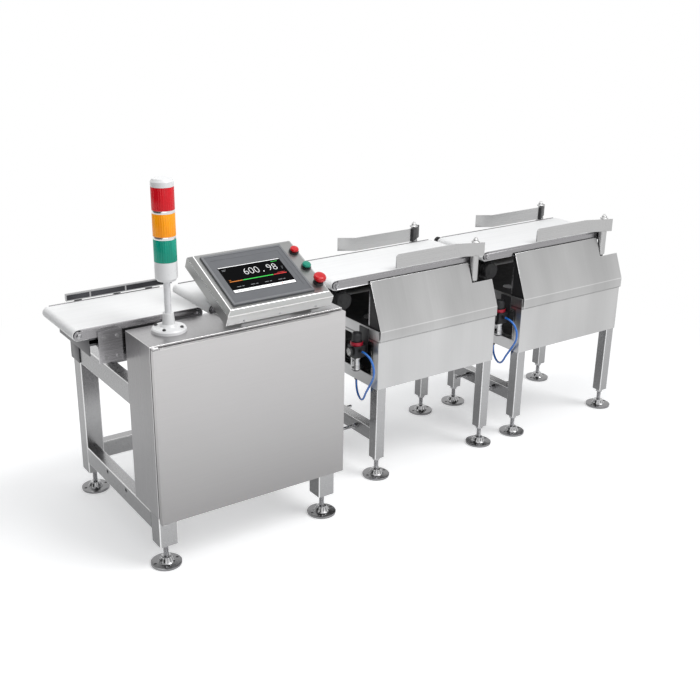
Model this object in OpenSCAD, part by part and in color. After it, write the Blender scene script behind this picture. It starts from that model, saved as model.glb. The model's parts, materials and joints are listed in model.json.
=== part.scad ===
// Sorting checkweigher: infeed belt, weigh belt and two sorting stations with swing arms.
// Millimetres. +X runs with the product, +Y away from the operator, +Z up, floor at z = 0.

/* [Belts] */
// Height of the belt surface above the floor
belt_z = 740; // [700:5:800]
// Width of every belt
belt_w = 250; // [200:5:300]
// Thickness of the belt
belt_t = 2; // [1:0.5:4]
// Radius of every roller
roller_r = 15; // [13:1:20]
// Length of the infeed conveyor
infeed_l = 418; // [350:1:500]
// Gap between the infeed belt and the weigh belt
belt_gap = 20; // [8:1:40]
// Length of the weigh conveyor
weigh_l = 437; // [350:1:500]
// Length of each sorting conveyor
sort_l = 645; // [600:1:760]
// Overhang of the infeed nose in front of the main frame
infeed_out = 150; // [80:1:200]

/* [Main frame] */
// Width over the main legs
main_w = 632; // [600:1:640]
// Depth over the main legs
main_d = 630; // [600:1:700]
// Distance from the front leg faces to the belt centre line
belt_back = 320; // [310:1:350]
// Side of the square main legs
leg = 60; // [50:1:70]
// Wall of all square tubes
tube_wall = 2.5; // [1.5:0.5:4]
// Height of the lower end of the main legs
leg_z = 76; // [60:1:100]
// Width of the main rails
rail_w = 40; // [30:1:50]
// Height of the lower rails
rail_h = 60; // [40:1:80]
// Height of the top face of the lower rails
rail_top = 176; // [150:1:200]
// Height of the upper rails
up_rail_h = 70; // [50:1:90]
// Height of the top face of the upper rails
up_top = 556; // [520:1:580]
// Side of the two beams that carry the conveyors
beam = 40; // [30:1:50]

/* [Cabinet] */
// Width of the control cabinet
cab_w = 652; // [640:1:680]
// Depth of the cabinet body
cab_d = 168; // [150:1:170]
// Height of the cabinet top above the floor
cab_top = 722; // [700:1:730]
// Sheet thickness of the cabinet
sheet = 2; // [1.5:0.5:3]
// Width of the flange round the cabinet front
cab_flange = 34; // [33:1:40]
// Depth of the door pan
door_t = 18; // [12:1:25]
// Gap between the door pan and the cabinet front
door_gap = 4; // [3:0.5:8]
// Drop of the door below the cabinet floor
door_drop = 11; // [5:1:15]
// Radius of the door hinge pins
hinge_r = 3; // [2:0.5:4]

/* [Operator panel] */
// Left edge of the panel box from the frame edge
hmi_x = 255; // [200:1:260]
// Width of the panel face
hmi_w = 372; // [340:1:390]
// Length of the panel face along its slope
hmi_l = 256; // [240:1:270]
// Slope of the panel face from level
hmi_tilt = 25; // [15:1:35]
// Depth of the panel box
hmi_depth = 50; // [40:1:50]
// Bevel round the panel face
hmi_bevel = 13; // [6:1:18]
// Height of the lower edge of the face above the cabinet top
hmi_up = 56; // [54:1:70]
// Width of the screen frame
bezel_w = 284; // [260:1:290]
// Length of the screen frame
bezel_l = 228; // [210:1:235]
// Visible width of the screen
screen_w = 218; // [200:1:225]
// Visible height of the screen
screen_h = 120; // [110:1:130]
// Radius of the push button heads
button_r = 14; // [12:0.5:15]
// Radius of the emergency stop head
estop_r = 20; // [16:1:22]
// Press travel of the push buttons
button_travel = 3; // [2:0.5:4]
// Press travel of the emergency stop
estop_travel = 5; // [3:0.5:6]

/* [Signal tower] */
// Distance of the tower from the left cabinet side
tower_x = 108; // [80:1:150]
// Distance of the tower behind the front leg faces
tower_y = 98; // [70:1:105]
// Radius of the lenses
lens_r = 33; // [25:1:35]
// Height of each lens
lens_h = 65; // [50:1:75]
// Height of the rings between lenses
ring_h = 9; // [5:1:12]
// Height of the white foot of the light stack
stack_h = 57; // [40:1:70]
// Height of the stack above the cabinet top
pole_h = 153; // [120:1:200]
// Radius of the pole
pole_r = 10; // [8:1:14]
// Radius of the pole foot flange
flange_r = 52; // [40:1:57]

/* [Sorting stations] */
// Distance from the start of a sorting belt to the left end of its housing
station_off = 150; // [140:1:180]
// Length of the station housing
sort_w = 530; // [500:1:540]
// Half depth over the station legs
sort_hd = 195; // [190:1:220]
// Side of the square station legs
sleg = 40; // [36:1:40]
// Height of the lower end of the station legs
sleg_z = 74; // [60:1:100]
// Height of the deck top inside the station
deck_z = 556; // [540:1:570]
// Height of the lower edge of the station panels
panel_z = 346; // [320:1:360]
// Height of the lower edge of the sloped cover
lap_z = 520; // [510:1:530]
// Height of the top edge of the sloped cover
cover_top = 719; // [700:1:722]
// Distance of the cover top edge from the belt centre line
cover_in = 140; // [139:1:142]
// Height where the cover is cut away for the arm post
cover_cut = 650; // [630:1:660]

/* [Swing arms] */
// Distance of the near post from the left end of the housing
pivot_u = 455; // [440:1:470]
// Shift of the far post against the near post
pivot_shift = 40; // [0:1:70]
// Distance of the posts from the belt centre line
pivot_v = 150; // [148:1:151]
// Radius of the arm posts
post_r = 10; // [8:0.5:11]
// Height of the arm plate
arm_h = 48; // [30:1:60]
// Gap between the belt surface and the arm
arm_up = 6; // [4:1:15]
// Thickness of the arm plate
arm_t = 4; // [3:0.5:6]
// Length of the straight arm plate
arm_l = 262; // [220:1:290]
// Swing of the arms in degrees
arm_swing = 42; // [30:1:45]
// Radius of the crank on each post
crank_r = 40; // [35:1:42]

/* [Feet] */
// Radius of the foot pads
pad_r = 48; // [40:1:52]
// Thickness of the pad rim
pad_t = 8; // [5:1:12]
// Radius of the threaded foot stems
stem_r = 8; // [6:1:10]
// Distance of the anchor holes from the pad centre
anchor_off = 37; // [34:1:38]
// Radius of the anchor holes
anchor_r = 4.5; // [3:0.5:5]

/* [Fits] */
// Radial running clearance of shafts in their bores
run = 0.05; // [0.02:0.01:0.1]
// Free gap round loose parts
free = 0.3; // [0.3:0.1:0.6]
// Side gap of the crank pin in its slot
slot_gap = 0.5; // [0.4:0.1:1]
// Joint line left at welded and bolted seams
seam = 0.1; // [0.05:0.05:0.3]

/* [Hidden] */
$fn = 48;

// Colours
steel = [0.76, 0.76, 0.77];
dark = [0.08, 0.08, 0.09];
white = [0.93, 0.93, 0.93];
grey = [0.42, 0.43, 0.46];

// Derived positions along the belts
infeed_x = -infeed_out;
weigh_x = infeed_x + infeed_l + belt_gap;
sort_belt_x = weigh_x + weigh_l + belt_gap;
sort_pitch = sort_l + belt_gap;
sort_x = sort_belt_x + station_off;
wrap_r = roller_r + free + belt_t;
roll_z = belt_z - wrap_r;
side_in = belt_w / 2 + 2;
side_t = 6;
side_out = side_in + side_t;
side_r = roller_r - 2;
shaft_r = 6;
pulley_r = roller_r - 1;
pulley_w = 12;
pulley_v = side_out + 5;
front_y = -belt_back;
rear_y = front_y + main_d;

// Derived positions of the cabinet and the door
cab_back = front_y + cab_d;
door_y = front_y - door_gap - door_t;
door_x = 1;
door_w = cab_w - 2;
door_z = rail_top - door_drop;
door_h = cab_top - 6 - door_z;
hinge_x = door_x + 8;
hinge_y = front_y - door_gap - 8;
entry_r = 10.25;

// Derived positions of the operator panel
hmi_y = front_y + 15;
hmi_z = cab_top + hmi_up;
bezel_x = 28;
bezel_a = 12;
bezel_t = 6;
screen_x = 57;
screen_a = 60;
button_x = 344;
red_a = 200;
green_a = 121;
estop_a = 44;
button_stem = 9;
head_z = 5 + button_travel + 0.6;

// Derived heights of the signal tower
tower_ya = front_y + tower_y;
stack_z = cab_top + pole_h;
lens_z1 = stack_z + stack_h;
lens_z2 = lens_z1 + lens_h + ring_h;
lens_z3 = lens_z2 + lens_h + ring_h;
tower_top = lens_z3 + lens_h + 22;

// Derived positions of the arms and their drives
arm_z = belt_z + arm_up;
crank_z = 484;
crank_t = 10;
pin_r = 4;
rod_z = 470;
rod_v = pivot_v - crank_r * (1 + cos(arm_swing / 2)) / 2;
pin_du = -crank_r * sin(arm_swing / 2);
pin_dv = crank_r * cos(arm_swing / 2);
yoke_half = 12;
cyl_l = 110;
cyl_s = 36;
cyl_end = pin_du - yoke_half - 36;
bearing_r = 14;
bearing_z = crank_z + crank_t + 6;
bearing_gap = 45;
sleeve_z = cover_cut + 5;
bearing_l = sleeve_z - bearing_gap - bearing_z;

// Station left ends and post positions
stations = [sort_x, sort_x + sort_pitch];
posts = [[pivot_u, -1], [pivot_u - pivot_shift, 1]];

// Foot centres of the main frame and of the stations
main_feet = [[leg / 2, front_y + leg / 2], [main_w - leg / 2, front_y + leg / 2],
  [leg / 2, rear_y - leg / 2], [main_w - leg / 2, rear_y - leg / 2]];
sort_feet = [for (s = stations, u = [sleg / 2, sort_w - sleg / 2], v = [-1, 1])
  [s + u, v * (sort_hd - sleg / 2)]];

// Middle of the machine footprint, which becomes the origin
x_lo = infeed_x;
x_hi = sort_x + sort_pitch + sort_w - sleg / 2 + pad_r;
x_mid = (x_lo + x_hi) / 2;
y_mid = (door_y + rear_y - leg / 2 + pad_r) / 2;

// Regulator position on the left end of a station
reg_u = -34;
reg_v = -115;
reg_s = 44;
reg_z = 450;
reg_h = 42;
port_z = 476;
elbow_u = 30;
elbow_v = -30;

// Hose route from the regulator port down and back under the station, from the station left end
hose_r = 4;
hose_end = 320;
hose_sides = 10;
hose_route = [[-34, -149, 476], [-33, -169, 473.5], [-30, -187, 464], [-28, -200, 448.5],
  [-26, -206, 429.5], [-23.5, -204, 409.5], [-20, -196, 391.5], [-16.5, -184.5, 374.5],
  [-13.5, -172.5, 358.5], [-11.5, -160.5, 342], [-9.5, -148.5, 325.5], [-6.5, -136.5, 309.5],
  [-3, -125, 293], [2, -111.5, 278.5], [8, -95, 268.5], [14.5, -76, 265], [20.5, -57.5, 270],
  [25.5, -42, 282.5], [29, -32.5, 300], [30, -30, hose_end]];
hose_out = [0, -1, 0];
hose_in = [0, 0, 1];

module placed() {
  translate([-x_mid, -y_mid, 0]) children();
}

// Square tube along x, y or z from a corner
module tube_x(p, l, w, h) {
  translate(p) difference() {
    translate([seam, 0, 0]) cube([l - 2 * seam, w, h]);
    translate([-1, tube_wall, tube_wall]) cube([l + 2, w - 2 * tube_wall, h - 2 * tube_wall]);
  }
}

module tube_y(p, l, w, h) {
  translate(p) difference() {
    translate([0, seam, 0]) cube([w, l - 2 * seam, h]);
    translate([tube_wall, -1, tube_wall]) cube([w - 2 * tube_wall, l + 2, h - 2 * tube_wall]);
  }
}

module tube_z(p, l, w) {
  translate(p) difference() {
    cube([w, w, l]);
    translate([tube_wall, tube_wall, -1]) cube([w - 2 * tube_wall, w - 2 * tube_wall, l + 2]);
  }
}

// Plug in the lower end of a leg with the hole for the foot stem
module leg_plug(c, w, z) {
  translate([c[0], c[1], z]) difference() {
    translate([-w / 2 + tube_wall + seam, -w / 2 + tube_wall + seam, 0])
      cube([w - 2 * (tube_wall + seam), w - 2 * (tube_wall + seam), 12]);
    translate([0, 0, -1]) cylinder(r = stem_r + run, h = 14);
  }
}

// Round bar along x or y
module rod_x(p, l, r) {
  translate(p) rotate([0, 90, 0]) cylinder(r = r, h = l);
}

module rod_y(p, l, r) {
  translate(p) rotate([-90, 0, 0]) cylinder(r = r, h = l);
}

module main_frame() {
  color(steel) placed() {
    for (c = main_feet) {
      leg_plug(c, leg, leg_z);
    }
    for (x = [0, main_w - leg]) {
      tube_z([x, front_y, leg_z], rail_top - leg_z, leg);
      tube_z([x, rear_y - leg, leg_z], up_top - leg_z, leg);
    }
    for (x = [0, main_w - rail_w]) {
      difference() {
        tube_y([x, front_y + leg, rail_top - rail_h], main_d - 2 * leg, rail_w, rail_h);
        for (v = [-rod_at, rod_at]) rod_x([x - 1, v, rod_h], rail_w + 2, tie_r + free);
      }
      tube_y([x, cab_back, up_top - up_rail_h], rear_y - leg - cab_back, rail_w, up_rail_h);
    }
    tube_x([leg, rear_y - leg + 10, rail_top - rail_h], main_w - 2 * leg, rail_w, rail_h);
    tube_x([leg, rear_y - leg + 10, up_top - up_rail_h], main_w - 2 * leg, rail_w, up_rail_h);
    for (y = [-side_out - beam + 22, side_out - 22]) {
      tube_x([rail_w, y, up_top - beam], main_w - 2 * rail_w, beam, beam);
    }
  }
}

// Tie rods from the main frame to the first station, and studs in the second
tie_r = 6;
stud_l = 60;
link_at = 90;
rod_at = 75;
rod_h = 161;
srail_h = 50;
srail_top = 186;
xrail_w = 30;

module sort_frames() {
  color(steel) placed() {
    for (c = sort_feet) leg_plug(c, sleg, sleg_z);
    for (s = stations) {
      for (u = [0, sort_w - sleg], v = [-sort_hd, sort_hd - sleg]) {
        tube_z([s + u, v, sleg_z], deck_z - 4 - sleg_z, sleg);
      }
      difference() {
        tube_y([s, -sort_hd + sleg, srail_top - srail_h], 2 * (sort_hd - sleg), sleg, srail_h);
        for (v = [-rod_at, rod_at]) rod_x([s - 1, v, rod_h], sleg + 2, tie_r + free);
      }
      for (u = [0, sort_w - sleg]) {
        tube_y([s + u, -sort_hd + sleg, deck_z - 4 - 40], 2 * (sort_hd - sleg), sleg, 40);
        tube_y([s + u, -sort_hd + sleg, panel_z], 2 * (sort_hd - sleg), sleg, 34);
      }
      for (v = [-sort_hd, sort_hd - xrail_w]) {
        tube_x([s + sleg, v, deck_z - 4 - 40], sort_w - 2 * sleg, xrail_w, 40);
        tube_x([s + sleg, v, panel_z], sort_w - 2 * sleg, xrail_w, 34);
      }
      for (p = posts) translate([s + p[0], p[1] * pivot_v, 0]) post_bearing();
    }
  }
}

// Flanged bearing that guides an arm post in the deck
module post_bearing() {
  difference() {
    union() {
      translate([0, 0, bearing_z]) cylinder(r = bearing_r, h = bearing_l);
      translate([0, 0, deck_z]) cylinder(r = 21, h = 6);
    }
    translate([0, 0, crank_z]) cylinder(r = post_r + run, h = bearing_z + bearing_l + 1 - crank_z);
  }
}

module foot_pad() {
  difference() {
    rotate_extrude() polygon([[0, 0], [pad_r - 1, 0], [pad_r, 1], [pad_r, pad_t - 1], [pad_r - 2, pad_t],
      [27, pad_t + 1], [22, pad_t + 5], [16, pad_t + 18], [14, pad_t + 19], [0, pad_t + 19]]);
    translate([0, 0, pad_t + 5]) cylinder(r = stem_r + run, h = 20);
    for (s = [-1, 1]) translate([s * anchor_off, 0, -1]) cylinder(r = anchor_r, h = pad_t + 4);
  }
}

module foot_pads() {
  color(steel) placed() {
    for (c = concat(main_feet, sort_feet)) translate([c[0], c[1], 0]) foot_pad();
  }
}

module foot_stem(top) {
  translate([0, 0, pad_t + 5]) cylinder(r = stem_r, h = top + 26 - pad_t - 5);
  translate([0, 0, top - 13]) difference() {
    cylinder(r = 13.8, h = 13, $fn = 6);
    translate([0, 0, -1]) cylinder(r = stem_r + run, h = 15);
  }
}

module foot_stems() {
  color(steel) placed() {
    for (c = main_feet) translate([c[0], c[1], 0]) foot_stem(leg_z);
    for (c = sort_feet) translate([c[0], c[1], 0]) foot_stem(sleg_z);
  }
}

// One tie rod with its nuts from one frame to the next
module tie_rod(x0, x1, nuts) {
  for (v = [-rod_at, rod_at]) {
    rod_x([x0, v, rod_h], x1 - x0, tie_r);
    for (x = nuts) translate([x, v, rod_h]) rotate([0, 90, 0]) difference() {
      cylinder(r = 10.4, h = 10, $fn = 6);
      translate([0, 0, -1]) cylinder(r = tie_r + run, h = 12);
    }
  }
}

// Bar with two flanges between the ends of the two stations
module link_bar() {
  l = sort_pitch - sort_w - 2 * sheet;
  rod_x([seam, 0, 0], l - 2 * seam, tie_r);
  for (x = [seam, l - 6 - seam]) rod_x([x, 0, 0], 6, 14);
}

module coupling_rods() {
  color(steel) placed() {
    tie_rod(main_w - rail_w - 30, sort_x + sleg + 45,
      [main_w - rail_w - 10, main_w, sort_x - 10, sort_x + sleg]);
    tie_rod(sort_x + sort_pitch - stud_l, sort_x + sort_pitch + sleg + 45,
      [sort_x + sort_pitch - 10, sort_x + sort_pitch + sleg]);
    for (v = [link_at, sort_hd - sleg]) translate([sort_x + sort_w + sheet, v, deck_z - 24]) link_bar();
  }
}

module cabinet_body() {
  color(steel) placed() {
    translate([0, front_y, rail_top]) difference() {
      cube([cab_w, cab_d, cab_top - rail_top]);
      translate([sheet, sheet, sheet])
        cube([cab_w - 2 * sheet, cab_d - 2 * sheet, cab_top - rail_top - 2 * sheet]);
      translate([cab_flange, -1, cab_flange])
        cube([cab_w - 2 * cab_flange, sheet + 2, cab_top - rail_top - 2 * cab_flange]);
      rod_y([cab_w - 112, cab_d - sheet - 1, 26], sheet + 2, entry_r);
    }
    hinge_bracket(door_z + door_h + 0.6, -1);
    hinge_bracket(door_z - 0.6, 1);
  }
}

// Welded hinge tab with its pin, above the door with the pin down or below it with the pin up
module hinge_bracket(z, up) {
  tab = up > 0 ? z - 3 : z;
  pin = up > 0 ? z - 3 : z - 9;
  difference() {
    translate([door_x + 1, door_y + 1, tab]) cube([20, front_y - door_y - 1, 3]);
    translate([hinge_x, hinge_y, tab - 1]) cylinder(r = hinge_r, h = 5);
  }
  translate([hinge_x, hinge_y, pin]) cylinder(r = hinge_r, h = 12);
}

module cabinet_door() {
  color(steel) placed() {
    difference() {
      translate([door_x, door_y, door_z]) cube([door_w, door_t, door_h]);
      translate([door_x + sheet, door_y + sheet, door_z + sheet])
        cube([door_w - 2 * sheet, door_t, door_h - 2 * sheet]);
      translate([hinge_x, hinge_y, door_z - 1]) cylinder(r = hinge_r + run, h = door_h + 2);
    }
  }
}

module door_seal() {
  color(dark) placed() {
    translate([22, front_y - door_gap + 0.6, rail_top + 8]) difference() {
      cube([cab_w - 36, door_gap - 0.6, cab_top - rail_top - 18]);
      translate([10, -1, 10]) cube([cab_w - 56, door_gap + 2, cab_top - rail_top - 38]);
    }
  }
}

module control_panel() {
  color(grey) placed() {
    translate([50, cab_back - sheet - 13, rail_top + 50]) cube([cab_w - 112, 3, cab_top - rail_top - 106]);
    for (x = [70, cab_w - 82], z = [70, cab_top - rail_top - 76]) {
      rod_y([x, cab_back - sheet - 10 + seam, rail_top + z], 10 - seam, 6);
    }
    for (x = [80, 170, 260, 350]) {
      translate([x, cab_back - sheet - 108, rail_top + 320]) cube([70, 95 - seam, 130]);
    }
    translate([450, cab_back - sheet - 78, rail_top + 320]) cube([110, 65 - seam, 110]);
    translate([80, cab_back - sheet - 78, rail_top + 190]) cube([230, 65 - seam, 90]);
    for (x = [340, 396, 452, 508]) {
      translate([x, cab_back - sheet - 88, rail_top + 190]) cube([45, 75 - seam, 85]);
    }
    translate([80, cab_back - sheet - 58, rail_top + 90]) cube([480, 45 - seam, 50]);
  }
}

module on_panel() {
  translate([hmi_x, hmi_y, hmi_z]) rotate([hmi_tilt, 0, 0]) children();
}

// Panel box with bevelled face, cut from two extruded outlines
module hmi_block(inset) {
  b = hmi_bevel;
  d = hmi_depth;
  intersection() {
    translate([inset, 0, 0]) rotate([90, 0, 90]) linear_extrude(hmi_w - 2 * inset)
      polygon([[-b + inset, -b - inset / 2], [inset / 2, -inset], [hmi_l - inset / 2, -inset],
        [hmi_l + b - inset, -b - inset / 2], [hmi_l + b - inset, -d + inset], [-b + inset, -d + inset]]);
    translate([0, hmi_l + 20, 0]) rotate([90, 0, 0]) linear_extrude(hmi_l + 40)
      polygon([[inset, -b - inset / 2], [b + inset / 2, -inset], [hmi_w - b - inset / 2, -inset],
        [hmi_w - inset, -b - inset / 2], [hmi_w - inset, -d - 1], [inset, -d - 1]]);
  }
}

module hmi_housing() {
  color(white) placed() on_panel() difference() {
    hmi_block(0);
    hmi_block(3);
    translate([60, 60, -hmi_depth - 1]) cube([hmi_w - 120, hmi_l - 120, 8]);
    translate([bezel_x + 8, bezel_a + 8, -20]) cube([bezel_w - 16, bezel_l - 16, 30]);
    for (a = [red_a, green_a, estop_a]) translate([button_x, a, -20]) cylinder(r = 11 + free, h = 30);
  }
}

// Slope of the under side of the panel box
function under_z(y) = hmi_z - hmi_depth / cos(hmi_tilt) + (y - hmi_y) * tan(hmi_tilt);

module hmi_stand() {
  y0 = hmi_y + 24;
  y1 = cab_back - 12;
  color(steel) placed() {
    translate([hmi_x + 34, y0, cab_top]) cube([hmi_w - 68, y1 - y0, 3]);
    for (x = [hmi_x + 60, hmi_x + hmi_w - 64]) {
      translate([x, 0, 0]) rotate([90, 0, 90]) linear_extrude(4)
        polygon([[y0 + 6, cab_top + 3 + seam], [y1 - 4, cab_top + 3 + seam], [y1 - 4, under_z(y1 - 4)],
          [y0 + 6, under_z(y0 + 6)]]);
    }
  }
}

module hmi_bezel() {
  color(grey) placed() on_panel() translate([bezel_x, bezel_a, 0]) difference() {
    union() {
      cube([bezel_w, bezel_l, bezel_t]);
      translate([9, 9, -30]) cube([bezel_w - 18, bezel_l - 18, 31]);
    }
    translate([screen_x - bezel_x, screen_a - bezel_a, bezel_t - 3]) cube([screen_w, screen_h, 10]);
    translate([22, 30, bezel_t - 1.2]) cube([bezel_w - 44, bezel_l - 56, 5]);
  }
}

module touchscreen() {
  color([0.02, 0.02, 0.03]) placed() on_panel() {
    translate([screen_x + 0.2, screen_a + 0.2, bezel_t - 3]) cube([screen_w - 0.4, screen_h - 0.4, 1.6]);
  }
}

module button_collars() {
  color(dark) placed() on_panel() {
    for (a = [red_a, green_a]) translate([button_x, a, 0]) difference() {
      union() {
        cylinder(r = button_r + 2, h = 5);
        translate([0, 0, -24]) cylinder(r = 11, h = 24);
      }
      translate([0, 0, -12]) cylinder(r = button_stem + run, h = 20);
    }
    translate([button_x, estop_a, 0]) difference() {
      union() {
        cylinder(r1 = 17, r2 = 15, h = 8);
        translate([0, 0, -24]) cylinder(r = 11, h = 24);
      }
      translate([0, 0, -14]) cylinder(r = 8 + run, h = 24);
    }
  }
}

module button_cap(a) {
  placed() on_panel() translate([button_x, a, 0]) {
    rotate_extrude() polygon([[0, -8], [button_stem, -8], [button_stem, head_z], [button_r - 1.5, head_z],
      [button_r, head_z + 1.5], [button_r, head_z + 4.5], [button_r - 2, head_z + 7.5], [0, head_z + 9.5]]);
  }
}

module stop_button() {
  color([0.8, 0.08, 0.1]) button_cap(red_a);
}

module start_button() {
  color([0.0, 0.5, 0.35]) button_cap(green_a);
}

module estop_button() {
  color([0.85, 0.08, 0.1]) placed() on_panel() translate([button_x, estop_a, -8]) {
    rotate_extrude() polygon([[0, 0], [8, 0], [8, 23], [14, 23], [estop_r, 27], [estop_r, 34],
      [estop_r - 3, 38], [estop_r - 8, 40], [0, 41]]);
  }
}

module tower_base() {
  color(white) placed() translate([tower_x, tower_ya, cab_top]) difference() {
    rotate_extrude() polygon([[0, 0], [flange_r, 0], [flange_r, 8], [flange_r - 4, 12], [26, 15], [19, 22],
      [16, 55], [0, 55]]);
    translate([0, 0, 10]) cylinder(r = pole_r + run, h = 60);
    for (i = [0:3]) rotate(45 + 90 * i) translate([40, 0, -1]) cylinder(r = 2.6, h = 20);
  }
}

module tower_pole() {
  color(white) placed() translate([tower_x, tower_ya, cab_top + 10]) difference() {
    cylinder(r = pole_r, h = pole_h + 8);
    translate([0, 0, -1]) cylinder(r = pole_r - 2, h = pole_h + 20);
  }
}

// White foot, rings and cap of the light stack on a central tube
module tower_housing() {
  color(white) placed() translate([tower_x, tower_ya, 0]) {
    difference() {
      union() {
        translate([0, 0, stack_z]) cylinder(r1 = lens_r - 6, r2 = lens_r - 1, h = 8);
        translate([0, 0, stack_z + 8]) cylinder(r = lens_r, h = stack_h - 8);
        translate([0, 0, lens_z1]) cylinder(r = 12, h = tower_top - lens_z1 - 10);
        for (z = [lens_z2, lens_z3]) translate([0, 0, z - ring_h]) cylinder(r = lens_r - 1, h = ring_h);
        translate([0, 0, lens_z3 + lens_h]) cylinder(r = lens_r, h = 14);
        translate([0, 0, lens_z3 + lens_h + 14]) cylinder(r1 = lens_r, r2 = lens_r - 6, h = 8);
      }
      translate([0, 0, stack_z - 1]) cylinder(r = pole_r + run, h = 19 + run);
      translate([0, 0, stack_z + 24]) cylinder(r = 9, h = tower_top - stack_z - 34);
    }
  }
}

module lens(z) {
  placed() translate([tower_x, tower_ya, z]) difference() {
    cylinder(r = lens_r, h = lens_h);
    translate([0, 0, -1]) cylinder(r = lens_r - 3, h = lens_h + 2);
  }
}

module lens_red() {
  color([0.85, 0.05, 0.1]) lens(lens_z3);
}

module lens_amber() {
  color([1.0, 0.6, 0.05]) lens(lens_z2);
}

module lens_green() {
  color([0.0, 0.55, 0.4]) lens(lens_z1);
}

// Flat loop outline with round ends, from one roller centre to the next
module loop_outline(l, r) {
  circle(r = r);
  translate([l, 0]) circle(r = r);
  translate([0, -r]) square([l, 2 * r]);
}

// Belt loop from x0 with overall length l
module belt_loop(x0, l) {
  translate([x0 + wrap_r, belt_w / 2, roll_z]) rotate([90, 0, 0]) linear_extrude(belt_w) difference() {
    loop_outline(l - 2 * wrap_r, wrap_r);
    loop_outline(l - 2 * wrap_r, roller_r + free);
  }
}

module conveyor_belts() {
  color(white) placed() {
    belt_loop(infeed_x, infeed_l);
    belt_loop(weigh_x, weigh_l);
    for (i = [0, 1]) belt_loop(sort_belt_x + i * sort_pitch, sort_l);
  }
}

// Side plates with shaft bores, slider bed and cross bars of one conveyor
module conveyor_frame(x0, l) {
  c = l - 2 * wrap_r;
  for (s = [-1, 1]) {
    translate([x0 + wrap_r, s > 0 ? side_out : -side_in, roll_z]) rotate([90, 0, 0]) linear_extrude(side_t)
      difference() {
        loop_outline(c, side_r);
        circle(r = shaft_r + run);
        translate([c, 0]) circle(r = shaft_r + run);
      }
  }
  translate([x0 + wrap_r + 24, -side_in + seam, belt_z - belt_t - free - 3])
    cube([c - 48, 2 * (side_in - seam), 3]);
  for (k = [0.22, 0.78]) {
    translate([x0 + wrap_r + k * c - 10, -side_in + seam, roll_z - 10]) cube([20, 2 * (side_in - seam), 18]);
  }
}

// Mounting plates of the infeed conveyor on their foot angles
plate_t = 6;
plate_x = infeed_x + 72;
plate_l = 200;
plate_z = up_top + 72;
plate_h = roll_z + 4 - plate_z;
plate_v = side_out + seam;
angle_x = plate_x + 126;
angle_w = 64;
angle_d = 14;

module infeed_conveyor_frame() {
  color(steel) placed() {
    conveyor_frame(infeed_x, infeed_l);
    for (v = [0, 1]) mirror([0, v, 0]) {
      translate([plate_x, -plate_v - plate_t, plate_z]) cube([plate_l, plate_t, plate_h]);
      translate([angle_x, -plate_v - plate_t, up_top]) cube([angle_w, plate_t, plate_z - up_top - seam]);
      translate([angle_x, -side_out, up_top]) cube([angle_w, angle_d, plate_t]);
    }
  }
}

// Cradle that carries the weigh conveyor on the load cell
cradle_x = weigh_x + 142;
cradle_l = 170;
cradle_z = belt_z - 90;
cradle_t = 6;

module weigh_conveyor_frame() {
  color(steel) placed() {
    conveyor_frame(weigh_x, weigh_l);
    for (v = [-side_out, side_in]) {
      translate([cradle_x, v, cradle_z]) cube([cradle_l, side_t, roll_z - side_r - cradle_z - seam]);
    }
    translate([cradle_x, -side_in + seam, cradle_z]) cube([cradle_l, 2 * (side_in - seam), cradle_t]);
  }
}

module sort_conveyor_frames() {
  color(steel) placed() for (i = [0, 1]) {
    conveyor_frame(sort_belt_x + i * sort_pitch, sort_l);
    for (u = [6, 330], v = [-side_out, side_in]) {
      translate([stations[i] + u, v, deck_z]) cube([28, side_t, roll_z - side_r - deck_z - seam]);
    }
  }
}

// Roller with its shaft; tail is the extra shaft length on the far side
module roller(x, tail) {
  translate([x, 0, roll_z]) rotate([90, 0, 0]) {
    translate([0, 0, -belt_w / 2]) cylinder(r = roller_r, h = belt_w);
    translate([0, 0, -side_out - 1 - tail]) cylinder(r = shaft_r, h = 2 * side_out + 2 + tail);
  }
}

module infeed_tail_roller() {
  color(steel) placed() roller(infeed_x + wrap_r, 0);
}

module infeed_drive_roller() {
  color(steel) placed() roller(infeed_x + infeed_l - wrap_r, 0);
}

module weigh_tail_roller() {
  color(steel) placed() roller(weigh_x + wrap_r, 0);
}

module weigh_drive_roller() {
  color(steel) placed() roller(weigh_x + weigh_l - wrap_r, 0);
}

// Motor shaft position from the drive roller centre
motor_dx = 46;
motor_dz = -66;
motor_gap = sqrt(motor_dx * motor_dx + motor_dz * motor_dz);
motor_turn = atan2(motor_dz, motor_dx);

module sort_drive(i) {
  x = sort_belt_x + i * sort_pitch + wrap_r;
  color(steel) placed() {
    roller(x, pulley_w + 6);
    rod_y([x, pulley_v, roll_z], pulley_w, pulley_r);
  }
}

module sort_tail(i) {
  color(steel) placed() roller(sort_belt_x + i * sort_pitch + sort_l - wrap_r, 0);
}

module sort_drive_roller_1() {
  sort_drive(0);
}

module sort_drive_roller_2() {
  sort_drive(1);
}

module sort_tail_roller_1() {
  sort_tail(0);
}

module sort_tail_roller_2() {
  sort_tail(1);
}

module drive_motors() {
  color(dark) placed() for (i = [0, 1]) {
    x = sort_belt_x + i * sort_pitch + wrap_r + motor_dx;
    z = roll_z + motor_dz;
    difference() {
      union() {
        rod_y([x, -110, z], 130, 31);
        translate([x - 36, 20, z - 30]) cube([72, 70, 64]);
      }
      rod_y([x, 60, z], 40, shaft_r + run);
    }
    translate([x - 20, 90, z + 14]) cube([40, side_out - 90, 8]);
    translate([x - 20, side_in, z + 22]) cube([40, side_t, roll_z - side_r - z - 22]);
    translate([x - 14, -90, z + 30]) cube([28, 60, 6]);
  }
}

module motor_pulley(i) {
  x = sort_belt_x + i * sort_pitch + wrap_r + motor_dx;
  z = roll_z + motor_dz;
  color(steel) placed() {
    rod_y([x, 70, z], pulley_v + pulley_w - 70, shaft_r);
    rod_y([x, pulley_v, z], pulley_w, pulley_r);
  }
}

module motor_pulley_1() {
  motor_pulley(0);
}

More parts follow.
